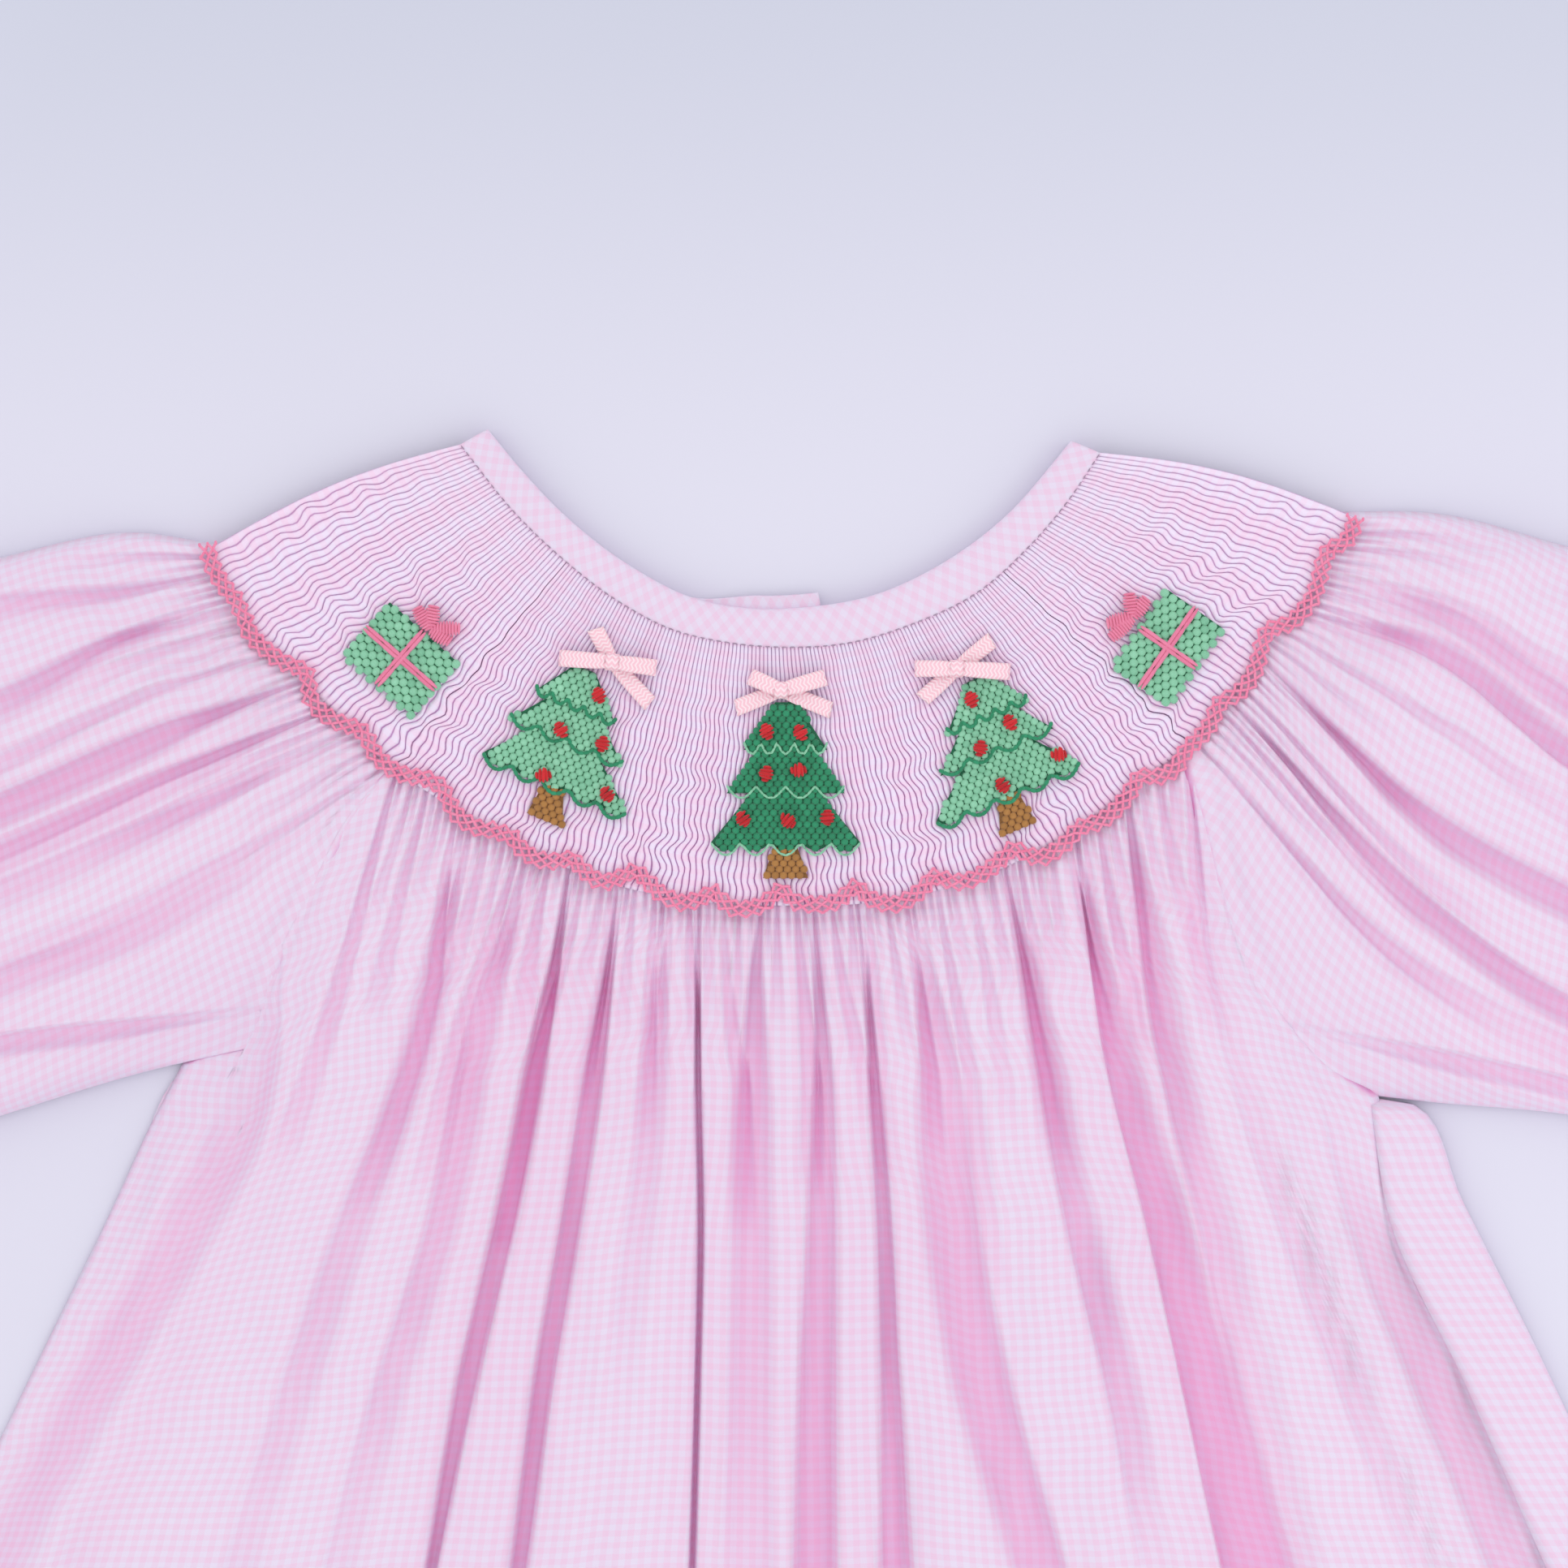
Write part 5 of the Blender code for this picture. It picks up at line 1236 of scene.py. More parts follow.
class Back:
    """One half of the back: flat on the table and lapped at the closing; the right half wraps to the top."""

    rows = 120
    columns = 90
    lap = 9.0
    outline_start = 0.032
    stretch_hold = 0.3
    turn_radius = 1.5

    def __init__(self, side: Side) -> None:
        """Sets the half's side."""
        self.side = side.value
        self.name = side.named("back")
        self.raglan = raglan_left if side is Side.LEFT else raglan_right
        self.outline = side_left if side is Side.LEFT else side_right

    def build(self, finish: Finishes) -> bpy.types.Object:
        """Makes the half from the neck to the hem."""
        raglan = self.raglan.at(np.linspace(0.0, 1.0, RAGLAN_ROWS))
        outline = self.outline.at(np.linspace(self.outline_start, 1.0, self.rows - RAGLAN_ROWS - 1))
        corner = neck_seam.at(yoke_edge.share_where(0, self.raglan.plan[0, 0]))
        edge = np.vstack([corner[None, :], raglan, outline])
        lap = -self.lap * self.side
        down = np.linspace(0.0, 1.0, self.rows)
        x = lap + (edge[:, :1] - lap) * np.linspace(0.0, 1.0, self.columns)[None, :] ** 0.9
        centre = blend(float(neck_seam.other_at(0, lap)), float(hem_y(lap)), down)[:, None]
        y = blend(centre, edge[:, 1:], ((x - lap) / (edge[:, :1] - lap)))
        y[0] = neck_seam.other_at(0, x[0])
        y[-1] = hem_y(x[-1])
        crease = 0.4 * np.abs(np.sin(x * 0.16 + 0.6 * np.sin(y * 0.02))) * ease((30.0 - y) / 60.0)
        pleat = 0.35 * np.abs(np.sin(x * 1.6)) * ease((y + 40.0) / 20.0)
        z = 0.15 + crease + pleat
        if self.side > 0:
            z = z + 1.4 * ease((15.0 - np.abs(x - lap)) / 6.0 + 1.0) * (np.abs(x - lap) < 24.0)
        points = np.dstack([x, y, z])
        points = self.wrapped(points) if self.side > 0 else points[:, ::-1]
        run = Cloth.even_run(Cloth.cloth_run(points), self.stretch_hold)
        uv = np.dstack([run, np.repeat(points[:, :1, 1], points.shape[1], axis=1)])
        faces = [face[::-1] for face in Cloth.grid_faces(self.rows, points.shape[1])]
        piece = Cloth.mesh(f"{self.name}_cloth", points, faces, uv, np.zeros(points.shape[:2]))
        Cloth.thicken(piece)
        return dress(piece, finish.gingham, "gingham_cotton", self.name)

    def wrapped(self, points: Array) -> Array:
        """Adds the strip that turns up round the side and ends at the side seam on the top."""
        edge_x = SKIRT_FOLDS[-1][:6]
        skirt_edge = PlanLine(list(zip(edge_x, (RAGLAN_RIGHT[-1][1], *LEVELS, float(hem_y(edge_x[-1]))))))
        first = RAGLAN_ROWS + 1
        side = points[first:, -1]
        seam = skirt_edge.other_at(1, side[:, 1]) - 0.7
        strips = []
        for turn in np.linspace(0.25, 1.0, 5):
            angle = math.pi * turn
            height = np.full(len(side), 0.3 + 2.2 * (1.0 - math.cos(angle)))
            out = side[:, 0] + self.turn_radius * (math.sin(angle) - 1.0)
            strips.append(np.stack([out, side[:, 1], height], axis=-1))
        for share in np.linspace(0.15, 1.0, 7):
            inward = blend(side[:, 0] - self.turn_radius, seam, share)
            rise = 4.7 + 0.6 * share + 0.8 * math.sin(math.pi * share)
            strips.append(np.stack([inward, side[:, 1], np.full(len(side), rise)], axis=-1))
        wrap = np.stack(strips, axis=1)
        upper = np.repeat(points[:first, -1:], wrap.shape[1], axis=1)
        return np.concatenate([points, np.concatenate([upper, wrap], axis=0)], axis=1)


class Binding:
    """The bias-cut neck binding, with its lapped tab behind and its row of stitches."""

    stitch_pitch = 2.1
    stitch_long = 1.35
    stitch_wide = 0.34
    stitch_height = 6.12
    stitch_inset = 0.35
    front_inset = -0.45
    back_inset = 0.2
    tab_start = 0.36
    tab_grown = 0.12
    tab_rise = 3.6
    tab_lift = 1.5
    front = ((0.0, 5.5), (0.02, 6.1), (0.09, 6.3), (0.4, 6.45), (0.7, 6.3), (0.9, 5.9), (0.985, 5.2),
             (1.0, 4.5), (0.98, 3.7), (0.9, 3.2), (0.5, 3.1), (0.05, 3.1))
    back = ((0.0, 0.0), (0.0, 1.2), (0.5, 1.3), (0.97, 1.2), (1.0, 0.6), (0.97, 0.0))

    def build(self, finish: Finishes, stitcher: "Stitcher") -> bpy.types.Object:
        """Makes the strip's front, its back, which lies under the front and ends in the tab, and the seam."""
        share = np.linspace(0.0, 1.0, 260)
        piece = self.band("neck_binding_front", share, self.front_inset, self.front, finish)
        share = np.linspace(0.0, 0.56, 150)
        tab = ease((share - self.tab_start) / self.tab_grown)
        self.band("neck_binding_back", share, self.back_inset, self.back, finish, self.tab_rise * tab,
                  self.tab_lift * tab)
        share = np.linspace(1.0, 0.46, 140)
        self.band("neck_binding_back_right", share, self.back_inset, self.back, finish)
        self.seam_stitches(stitcher, finish)
        return piece

    def seam_stitches(self, stitcher: "Stitcher", finish: Finishes) -> None:
        """Lays the row of machine stitches in the seam."""
        count = int(neck_seam.length / self.stitch_pitch)
        share = (np.arange(count) + 0.5) / count
        out = neck_seam.normal(share)
        middle = neck_seam.at(share) - out * self.stitch_inset
        way = np.stack([out[:, 1], -out[:, 0]], axis=1) * self.stitch_long / 2.0
        piece = stitcher.lay("neck_binding_stitches", middle - way, middle + way, self.stitch_height,
                             self.stitch_wide, self.stitch_wide, SEED + 11, 0.05)
        dress(piece, finish.mauve, "gingham_cotton")

    @staticmethod
    def band(name: str, share: Array, inset: float, profile: tuple, finish: Finishes, rise: object = 0.0,
             low: object = 0.0) -> bpy.types.Object:
        """Makes a closed band along the neck.

        Args:
            name: the piece's name.
            share: the cross sections' shares of the seam's length.
            inset: how far outside the seam the band begins.
            profile: a cross section's points: their way to the upper edge and their height.
            finish: the dress's materials.
            rise: how far the upper edge is moved up in plan, by cross section.
            low: how far the band is lifted off the table, by cross section.

        Returns:
            The piece.
        """
        seam = neck_seam.at(share) + neck_seam.normal(share) * inset
        edge = binding_edge.at(share)
        edge[:, 1] += rise
        way, height = np.array(profile).T
        plan = blend(seam[:, None], edge[:, None], way[:, None])
        points = np.dstack([plan, height + np.broadcast_to(low, share.shape)[:, None]])
        rows, count = points.shape[:2]
        uv = np.dstack(np.meshgrid(run_along(points[0]), share * neck_seam.length))
        faces = Cloth.grid_faces(rows, count, closed=True)
        faces.append(tuple(range(count)))
        faces.append(tuple(range(rows * count - 1, (rows - 1) * count - 1, -1)))
        piece = Cloth.mesh(name, points, faces, uv, np.zeros((rows, count)))
        recalculate(piece)
        return dress(piece, finish.bias, "gingham_cotton", "neck_binding")


@dataclass
class Stitcher:
    """Models one stitch of floss and lays copies of it as one piece of embroidery."""

    points: Array = field(default_factory=lambda: np.empty((0, 3)))
    faces: list = field(default_factory=list)

    def model(self) -> None:
        """Models a plump grain of floss, one unit long, wide and high, with its middle at the origin."""
        bpy.ops.object.select_all(action="DESELECT")
        bpy.ops.mesh.primitive_uv_sphere_add(segments=8, ring_count=5, radius=0.5)
        grain = bpy.context.object
        bpy.ops.object.mode_set(mode="EDIT")
        bpy.ops.mesh.select_all(action="SELECT")
        bpy.ops.transform.rotate(value=math.pi / 2, orient_axis="Y", center_override=(0, 0, 0))
        bpy.ops.object.mode_set(mode="OBJECT")
        points = np.array([vertex.co[:] for vertex in grain.data.vertices])
        full = np.sign(points[:, 0]) * np.abs(points[:, 0] * 2.0) ** 0.75 / 2.0
        self.points = np.stack([full, points[:, 1], points[:, 2]], axis=1)
        self.faces = [list(polygon.vertices) for polygon in grain.data.polygons]
        bpy.data.objects.remove(grain, do_unlink=True)

    def lay(self, name: str, starts: Array, ends: Array, heights: Array, width: Array, thick: Array,
            seed: int, arch: float = 0.0, uneven: float = 0.08) -> bpy.types.Object:
        """Lays stitches from point to point.

        Args:
            name: the piece's name.
            starts: the stitches' first ends in plan.
            ends: their other ends.
            heights: the height of each stitch's middle.
            width: each stitch's width.
            thick: each stitch's thickness.
            seed: for the differences in tone.
            arch: how far a stitch's ends lie below its middle.
            uneven: how far the stitches differ in tone.

        Returns:
            The joined piece.
        """
        starts, ends = np.asarray(starts, float), np.asarray(ends, float)
        count = len(starts)
        heights, width, thick = (np.broadcast_to(size, (count,))[:, None] for size in (heights, width, thick))
        way = ends - starts
        length = np.linalg.norm(way, axis=1)[:, None]
        way = way / length
        side = np.stack([-way[:, 1], way[:, 0]], axis=1)
        middle = (starts + ends) / 2.0
        along, across, up = self.points.T
        plan = (middle[:, None] + way[:, None] * (along * length)[..., None]
                + side[:, None] * (across * width)[..., None])
        points = np.dstack([plan, heights + up * thick - arch * (2.0 * along) ** 2])
        base = np.arange(count)[:, None, None] * len(along)
        faces = []
        for corners in sorted({len(face) for face in self.faces}):
            group = np.array([face for face in self.faces if len(face) == corners])
            faces += (group[None] + base).reshape(-1, corners).tolist()
        uv = np.stack([along * length, across * width], axis=-1)
        tone = np.repeat(np.random.default_rng(seed).normal(0.0, uneven, count), len(along))
        return Cloth.mesh(name, points, faces, uv, tone, "stitch", "tone")


def turned(points: Array, angle: float, centre: Sequence) -> Array:
    """Returns plan points turned about the origin and moved to a centre."""
    points = np.asarray(points, float)
    cos, sin = math.cos(angle), math.sin(angle)
    x = centre[0] + points[..., 0] * cos - points[..., 1] * sin
    y = centre[1] + points[..., 0] * sin + points[..., 1] * cos
    return np.stack([x, y], axis=-1)


def inside(points: Array, outline: Array) -> Array:
    """Tells which points lie inside an outline."""
    x, y = points[:, 0], points[:, 1]
    found = np.zeros(len(points), bool)
    for (ax, ay), (bx, by) in zip(outline, np.roll(outline, -1, axis=0)):
        crosses = (ay > y) != (by > y)
        at = ax + (y - ay) * (bx - ax) / (by - ay + 1e-12)
        found ^= crosses & (x < at)
    return found


def bricks(outline: Array, long: float, rise: float) -> tuple:
    """Fills an outline with rows of cable stitches, laid like bricks.

    Args:
        outline: the outline in the motif's own plan.
        long: a stitch's length.
        rise: the distance between rows.

    Returns:
        The stitches' starts and ends.
    """
    low, high = outline.min(axis=0), outline.max(axis=0)
    starts, ends = [], []
    for row, y in enumerate(np.arange(low[1] + rise / 2, high[1], rise)):
        xs = np.arange(low[0] - long, high[0] + long, long) + (long / 2 if row % 2 else 0.0)
        starts.append(np.stack([xs + 0.02 * long, np.full(len(xs), y)], axis=1))
        ends.append(np.stack([xs + 0.98 * long, np.full(len(xs), y)], axis=1))
    starts, ends = np.vstack(starts), np.vstack(ends)
    keep = inside((starts + ends) / 2.0, outline)
    return starts[keep], ends[keep]


@dataclass
class Motif:
    """What every motif has: the stitcher, the dress's materials and the height of the pleats below it."""

    stitcher: Stitcher
    finish: Finishes
    height: float = 6.9
    plate_top: float = 6.75
    plate_foot: float = 6.15
    # The plate's tone, which darkens its floss into painted shadow between the stitches
    slit_shadow_tone: float = -0.6
    grain_thick: float = 1.25

    def plate(self, name: str, outline: Array, material: bpy.types.Material, slot: str,
              node: str) -> bpy.types.Object:
        """Makes a painted shadow: a dark sheet under the stitches that stands for the shade in the slits
        between them.
        """
        count = len(outline)
        points = np.vstack([np.column_stack([outline, np.full(count, height)])
                            for height in (self.plate_top, self.plate_foot)])
        faces = [tuple(range(count)), tuple(range(2 * count - 1, count - 1, -1))]
        for i in range(count):
            after = (i + 1) % count
            faces.append((i, after, count + after, count + i))
        uv = points[:, :2] + (0.0, Cloth.offset_y)
        piece = Cloth.mesh(name, points, faces, uv, np.full(2 * count, self.slit_shadow_tone), "stitch", "tone")
        recalculate(piece)
        piece.data.shade_flat()
        return dress(piece, material, slot, node)

    def lay(self, name: str, starts: Array, ends: Array, width: float, thick: float,
            material: bpy.types.Material, slot: str, node: str, seed: int, lift: float = 0.0,
            arch: float = 0.12) -> bpy.types.Object:
        """Lays stitches on the motif's ground."""
        piece = self.stitcher.lay(name, starts, ends, self.height + lift, width, thick, seed, arch)
        return dress(piece, material, slot, node)

    def fill(self, node: str, slot: str, outline: Array, place: tuple, materials: tuple, size: tuple,
             seed: int, inset: float = 1.0, upright: bool = False) -> None:
        """Fills an outline with brick stitches over a dark plate of painted shadow.

        Args:
            node: the solid that the two pieces stand for.
            slot: the solid's slot.
            outline: the outline in the motif's own plan.
            place: the motif's turn and centre.
            materials: the painted shadow plate's material and the stitches'.
            size: a stitch's length, the rows' distance and a stitch's width.
            seed: for the stitches' tones.
            inset: the plate's size as a share of the outline's.
            upright: whether the rows of stitches run up instead of across.
        """
        ground, thread = materials
        long, rise, width = size
        # The ground piece is painted shadow: a dark plate that shows in the slits between the stitches
        self.plate(f"{node}_ground", turned(outline * inset, *place), ground, slot, node)
        if upright:
            starts, ends = (laid[:, ::-1] for laid in bricks(outline[:, ::-1], long, rise))
        else:
            starts, ends = bricks(outline, long, rise)
        self.lay(f"{node}_stitches", turned(starts, *place), turned(ends, *place), width, self.grain_thick,
                 thread, slot, node, seed)


def path_stitches(points: Array, long: float, overlap: float = 0.15) -> tuple:
    """Cuts a path into stitches of about one length.

    Args:
        points: the path.
        long: a stitch's length.
        overlap: how far stitches run into each other, as a share of their length.

    Returns:
        The stitches' starts and ends.
    """
    line = PlanLine(points, 8)
    count = max(2, round(line.length / long))
    share = np.arange(count + 1) / count
    more = overlap / count
    return line.at(share[:-1] - more), line.at(share[1:] + more)


class TreeShape(NamedTuple):
    """An embroidered tree: its apex, size, turn and lean, its trunk's half widths and length, its knots."""

    name: str
    apex: tuple
    height: float
    half_width: float
    tilt: float
    lean: float
    trunk: tuple
    knots: tuple


TREES = (
    TreeShape("left", (-51.0, 29.6), 30.0, 20.0, math.radians(-23), 0.14, (2.6, 5.0, 8.0),
              ((-47.5, 22.7), (-57.3, 13.9), (-46.6, 10.3), (-61.7, 2.3), (-45.4, -2.7))),
    TreeShape("centre", (0.4, 21.0), 36.0, 19.2, 0.0, 0.0, (3.0, 5.8, 7.0),
              ((-4.4, 13.4), (4.2, 13.2), (-4.6, 2.7), (3.8, 3.6), (-10.5, -9.0), (1.1, -9.5),
               (11.1, -8.6))),
    TreeShape("right", (49.6, 27.2), 30.0, 20.0, math.radians(23), -0.14, (2.6, 5.0, 8.0),
              ((48.1, 21.6), (58.0, 15.8), (50.4, 9.2), (70.6, 7.6), (56.1, -0.4))),
)
TIERS = ((0.0, 0.14, 0.34, 0.56), (0.34, 0.36, 0.65, 0.79), (0.65, 0.46, 1.0, 1.0))


class Tree(Motif):
    """A tree of cable stitches with scalloped tiers, a trunk and red knots."""

    scallop_deep = 0.095
    scallop_widths = (1.12, 0.66)
    knot_height = 7.85
    winds = ((-1.6, 1.1, 0.0), (-0.8, 1.85, 0.7), (0.05, 2.05, 1.0), (0.9, 1.8, 0.65), (1.65, 1.0, 0.0))

    def outline(self, tree: TreeShape) -> Array:
        """Returns the outline, apex at the origin."""
        right = []
        for top, top_half, low, low_half in TIERS:
            right.append((top_half * tree.half_width, -top * tree.height))
            right.append((low_half * tree.half_width, -low * tree.height))
        hem = []
        for i in range(1, 20):
            lobe = abs(math.sin(math.pi * 5 * i / 20)) * 0.06
            hem.append((tree.half_width * (1.0 - i / 10.0), -tree.height * (1.0 + lobe)))
        left = [(-x, y) for x, y in reversed(right)]
        return self.leaning(np.array(right + hem + left), tree)

    @staticmethod
    def leaning(points: Array, tree: TreeShape) -> Array:
        """Returns points of the tree's own plan, moved over as its middle line leans."""
        points = np.array(points, float)
        points[:, 0] -= tree.lean * points[:, 1]
        return points

    def build(self, tree: TreeShape) -> None:
        """Makes the tree, its scallop lines, its trunk and its knots."""
        dark = tree.name == "centre"
        pair = (self.finish.green, self.finish.mint)
        ground, trim = pair if dark else pair[::-1]
        slot = "dark_green_thread" if dark else "mint_thread"
        node, place = f"tree_{tree.name}", (tree.tilt, tree.apex)
        outline = self.outline(tree)
        self.fill(node, slot, outline, place, (self.finish.green, ground), (2.15, 1.5, 2.05), SEED)
        self.scallops(tree, trim, slot, node)
        top_half, foot_half, long = tree.trunk
        top = -tree.height * 1.035 - 0.9
        trunk = self.leaning([(top_half, top + 1.0), (foot_half, top - long), (-foot_half, top - long),
                              (-top_half, top + 1.0)], tree)
        self.fill(f"trunk_{tree.name}", "brown_thread", trunk, place, (self.finish.brown,) * 2,
                  (2.1, 1.5, 2.05), SEED + 1)
        self.knots(tree, node)

    def scallops(self, tree: TreeShape, trim: bpy.types.Material, slot: str, node: str) -> None:
        """Lays the wavy lines along the tiers' lower edges."""
        starts, ends = [], []
        for (*_, low, low_half), waves in zip(TIERS, (5, 4, 5)):
            half = low_half * tree.half_width
            share = np.linspace(-1.0, 1.0, waves * 10 + 1)
            hang = np.abs(np.sin(np.pi * waves * (share + 1.0) / 2.0))
            drop = low + self.scallop_deep * (hang - (0.0 if low == 1.0 else 0.6))
            line = self.leaning(np.stack([share * half, -tree.height * drop], axis=1), tree)
            a, b = path_stitches(turned(line, tree.tilt, tree.apex), 1.5)
            starts.append(a)
            ends.append(b)
        width = self.scallop_widths[tree.name == "centre"]
        self.lay(f"{node}_scallops", np.vstack(starts), np.vstack(ends), width, 0.8, trim, slot, node,
                 SEED + 2, lift=0.45)

    def knots(self, tree: TreeShape, node: str) -> None:
        """Lays the knots: each is wound round and drawn through, as a small lumpy ball."""
        starts, ends, heights = [], [], []
        rng = np.random.default_rng(SEED + 3)
        for knot in tree.knots:
            angle = rng.random() * math.pi
            way = np.array([math.cos(angle), math.sin(angle)])
            side = np.array([-way[1], way[0]])
            for off, half, rise in self.winds:
                bend = 0.35 * rng.normal()
                middle = np.array(knot) + side * off
                starts.append(middle - way * half - side * bend * 0.4)
                ends.append(middle + way * half + side * bend)
                heights.append(self.knot_height + rise)
        piece = self.stitcher.lay(f"{node}_knots", starts, ends, np.array(heights), 1.05, self.grain_thick,
                                  SEED + 4, 0.45, uneven=0.2)
        dress(piece, self.finish.red, "coral_thread")


class GiftShape(NamedTuple):
    """An embroidered gift: its box and turn, where its bow sits and where the bow's petals end."""

    name: str
    centre: tuple
    width: float
    height: float
    turn: float
    bow_at: tuple
    petals: tuple


GIFTS = (
    GiftShape("left", (-98.5, 32.3), 24.0, 18.4, math.radians(-41.5), (-90.8, 39.6),
              ((-94.3, 45.3), (-89.9, 45.8), (-83.2, 39.9), (-85.7, 36.5))),
    GiftShape("right", (98.6, 35.0), 25.2, 17.6, math.radians(55.0), (89.6, 42.8),
              ((88.6, 49.0), (93.2, 47.6), (82.9, 41.2), (83.9, 37.4))),
)


class Gift(Motif):
    """A box of cable stitches with a ribbon cross of laid floss and a padded satin-stitch bow."""

    cross_width = 1.12
    cross_thick = 0.9
    satin_step = 0.7
    satin_width = 0.84
    satin_thick = 1.4

    def build(self, gift: GiftShape) -> None:
        """Makes the box, the cross and the bow."""
        node, place = f"gift_{gift.name}", (gift.turn, gift.centre)
        half = np.array([gift.width / 2, gift.height / 2])
        box = np.array([(1, -1), (1, 1), (-1, 1), (-1, -1)]) * half
        self.fill(node, "mint_thread", box, place, (self.finish.green, self.finish.mint), (2.5, 1.75, 2.35),
                  SEED + 5, inset=0.97, upright=True)
        lines = []
        for off in (-0.5, 0.5):
            lines.append(((-half[0] - 0.3, off), (half[0] + 0.3, off)))
            lines.append(((off, -half[1] - 0.3), (off, half[1] + 0.3)))
        starts, ends = [], []
        for a, b in lines:
            first, last = path_stitches(turned(np.array([a, b]), *place), 6.0, 0.2)
            starts.append(first)
            ends.append(last)
        self.lay(f"{node}_cross", np.vstack(starts), np.vstack(ends), self.cross_width, self.cross_thick,
                 self.finish.rose, "rose_thread", f"{node}_ribbon", SEED + 6, lift=0.75, arch=0.05)
        self.bow(gift, node)

    def bow(self, gift: GiftShape, node: str) -> None:
        """Lays the bow: four padded petals, each wrapped in satin stitches."""
        starts, ends, heights = [], [], []
        middle = np.array(gift.bow_at)
        for tip in gift.petals:
            way = np.array(tip) - middle
            long = np.linalg.norm(way)
            way = way / long
            side = np.array([-way[1], way[0]])
            count = int(long / self.satin_step)
            for i in range(count):
                share = (i + 0.5) / count
                half = 2.2 * math.sin(math.pi * (0.16 + 0.66 * share)) ** 0.7
                at = middle + way * long * share
                starts.append(at - side * half)
                ends.append(at + side * half + way * 0.2)
                heights.append(self.height + 0.75 + 0.75 * math.sin(math.pi * share))
        piece = self.stitcher.lay(f"{node}_satin_bow", starts, ends, np.array(heights), self.satin_width,
                                  self.satin_thick, SEED + 8, 0.55)
        dress(piece, self.finish.rose, "rose_thread", f"{node}_bow")


CORAL_LINE = (
    (261, 672), (266, 700), (280, 722), (297, 744), (305, 764), (316, 785), (334, 803), (357, 818),
    (380, 828), (384, 843), (388, 862), (402, 880), (424, 892), (448, 900), (458, 914), (466, 930),
    (484, 946), (506, 956), (532, 961), (548, 970), (556, 990), (570, 1008), (590, 1019), (614, 1024),
    (632, 1030), (643, 1044), (660, 1056), (684, 1060), (706, 1058), (716, 1066), (730, 1079), (750, 1085),
    (768, 1080), (781, 1073), (794, 1080), (808, 1095), (826, 1107), (851, 1111), (868, 1104), (880, 1097),
    (889, 1108), (904, 1118), (924, 1119), (944, 1110), (963, 1096), (978, 1108), (1003, 1114),
    (1024, 1112), (1040, 1102), (1054, 1091), (1066, 1103), (1086, 1112), (1111, 1111), (1132, 1097),
    (1150, 1079), (1164, 1083), (1184, 1086), (1206, 1078), (1228, 1062), (1249, 1045), (1262, 1052),
    (1282, 1055), (1306, 1043), (1328, 1019), (1350, 1013), (1374, 996), (1390, 976), (1400, 958),
    (1424, 957), (1444, 947), (1459, 923), (1476, 908), (1490, 890), (1499, 866), (1520, 856), (1537, 838),
    (1545, 818), (1550, 797), (1558, 778), (1582, 770), (1600, 756), (1612, 738), (1620, 720), (1624, 700),
    (1632, 680), (1656, 666), (1665, 639))
PX = 0.21
MIDDLE_PX = 966.0


def from_view(points: Sequence) -> Array:
    """Turns places measured in the view, in its pixels, into plan millimetres."""
    measured = np.array(points, float)
    return np.stack([(measured[:, 0] - MIDDLE_PX) * PX, (MIDDLE_PX - measured[:, 1]) * PX], axis=-1)


class CoralRow(Motif):
    """The coral trellis that closes the yoke: two rows of diamonds, with a short stitch at each turn."""

    cell = 3.15
    row_height = 2.1
    strand = 0.76
    thick = 0.72
    foot = 6.95
    turn = 0.6

    def build(self) -> None:
        """Makes the row."""
        line = PlanLine(from_view(CORAL_LINE), 6)
        count = int(line.length / self.cell)
        steps = np.arange(2 * count + 1) / (2 * count)
        out = line.normal(steps, 0.013)
        way = np.stack([out[:, 1], -out[:, 0]], axis=1)
        rng = np.random.default_rng(SEED + 12)
        base = line.at(steps) + rng.normal(0.0, 0.12, out.shape)
        even = np.arange(len(steps)) % 2 == 0
        starts, ends = [], []
        for high, low in ((1.0, 0.5), (0.0, 0.5), (0.0, -0.5), (-1.0, -0.5)):
            zig = base + out * (self.row_height * np.where(even, high, low))[:, None]
            starts.append(zig[:-1])
            ends.append(zig[1:])
        for place, first in ((1.0, 0), (0.0, 0), (-1.0, 0), (0.5, 1), (-0.5, 1)):
            middle = base[first::2] + out[first::2] * self.row_height * place
            starts.append(middle - way[first::2] * self.turn)
            ends.append(middle + way[first::2] * self.turn)
        a, b = np.vstack(starts), np.vstack(ends)
        heights = self.foot + rng.normal(0.0, 0.1, len(a))
        piece = self.stitcher.lay("wave_stitch_row", a, b, heights, self.strand, self.thick, SEED + 9, 0.12)
        dress(piece, self.finish.coral, "coral_thread", "wave_stitch")


class BowShape(NamedTuple):
    """A ribbon bow: its knot and its arms' ends, the first two being loops."""

    name: str
    knot: tuple
    ends: tuple


BOWS = (
    BowShape("left", (-44.1, 31.3), ((-57.5, 32.3), (-33.0, 29.8), (-48.5, 39.9), (-34.4, 20.6))),
    BowShape("centre", (-0.8, 24.1), ((-8.6, 27.5), (10.5, 27.3), (-12.4, 19.5), (12.2, 18.9))),
    BowShape("right", (44.3, 29.6), ((33.8, 29.6), (57.8, 28.8), (53.5, 37.0), (35.5, 21.8))),
)


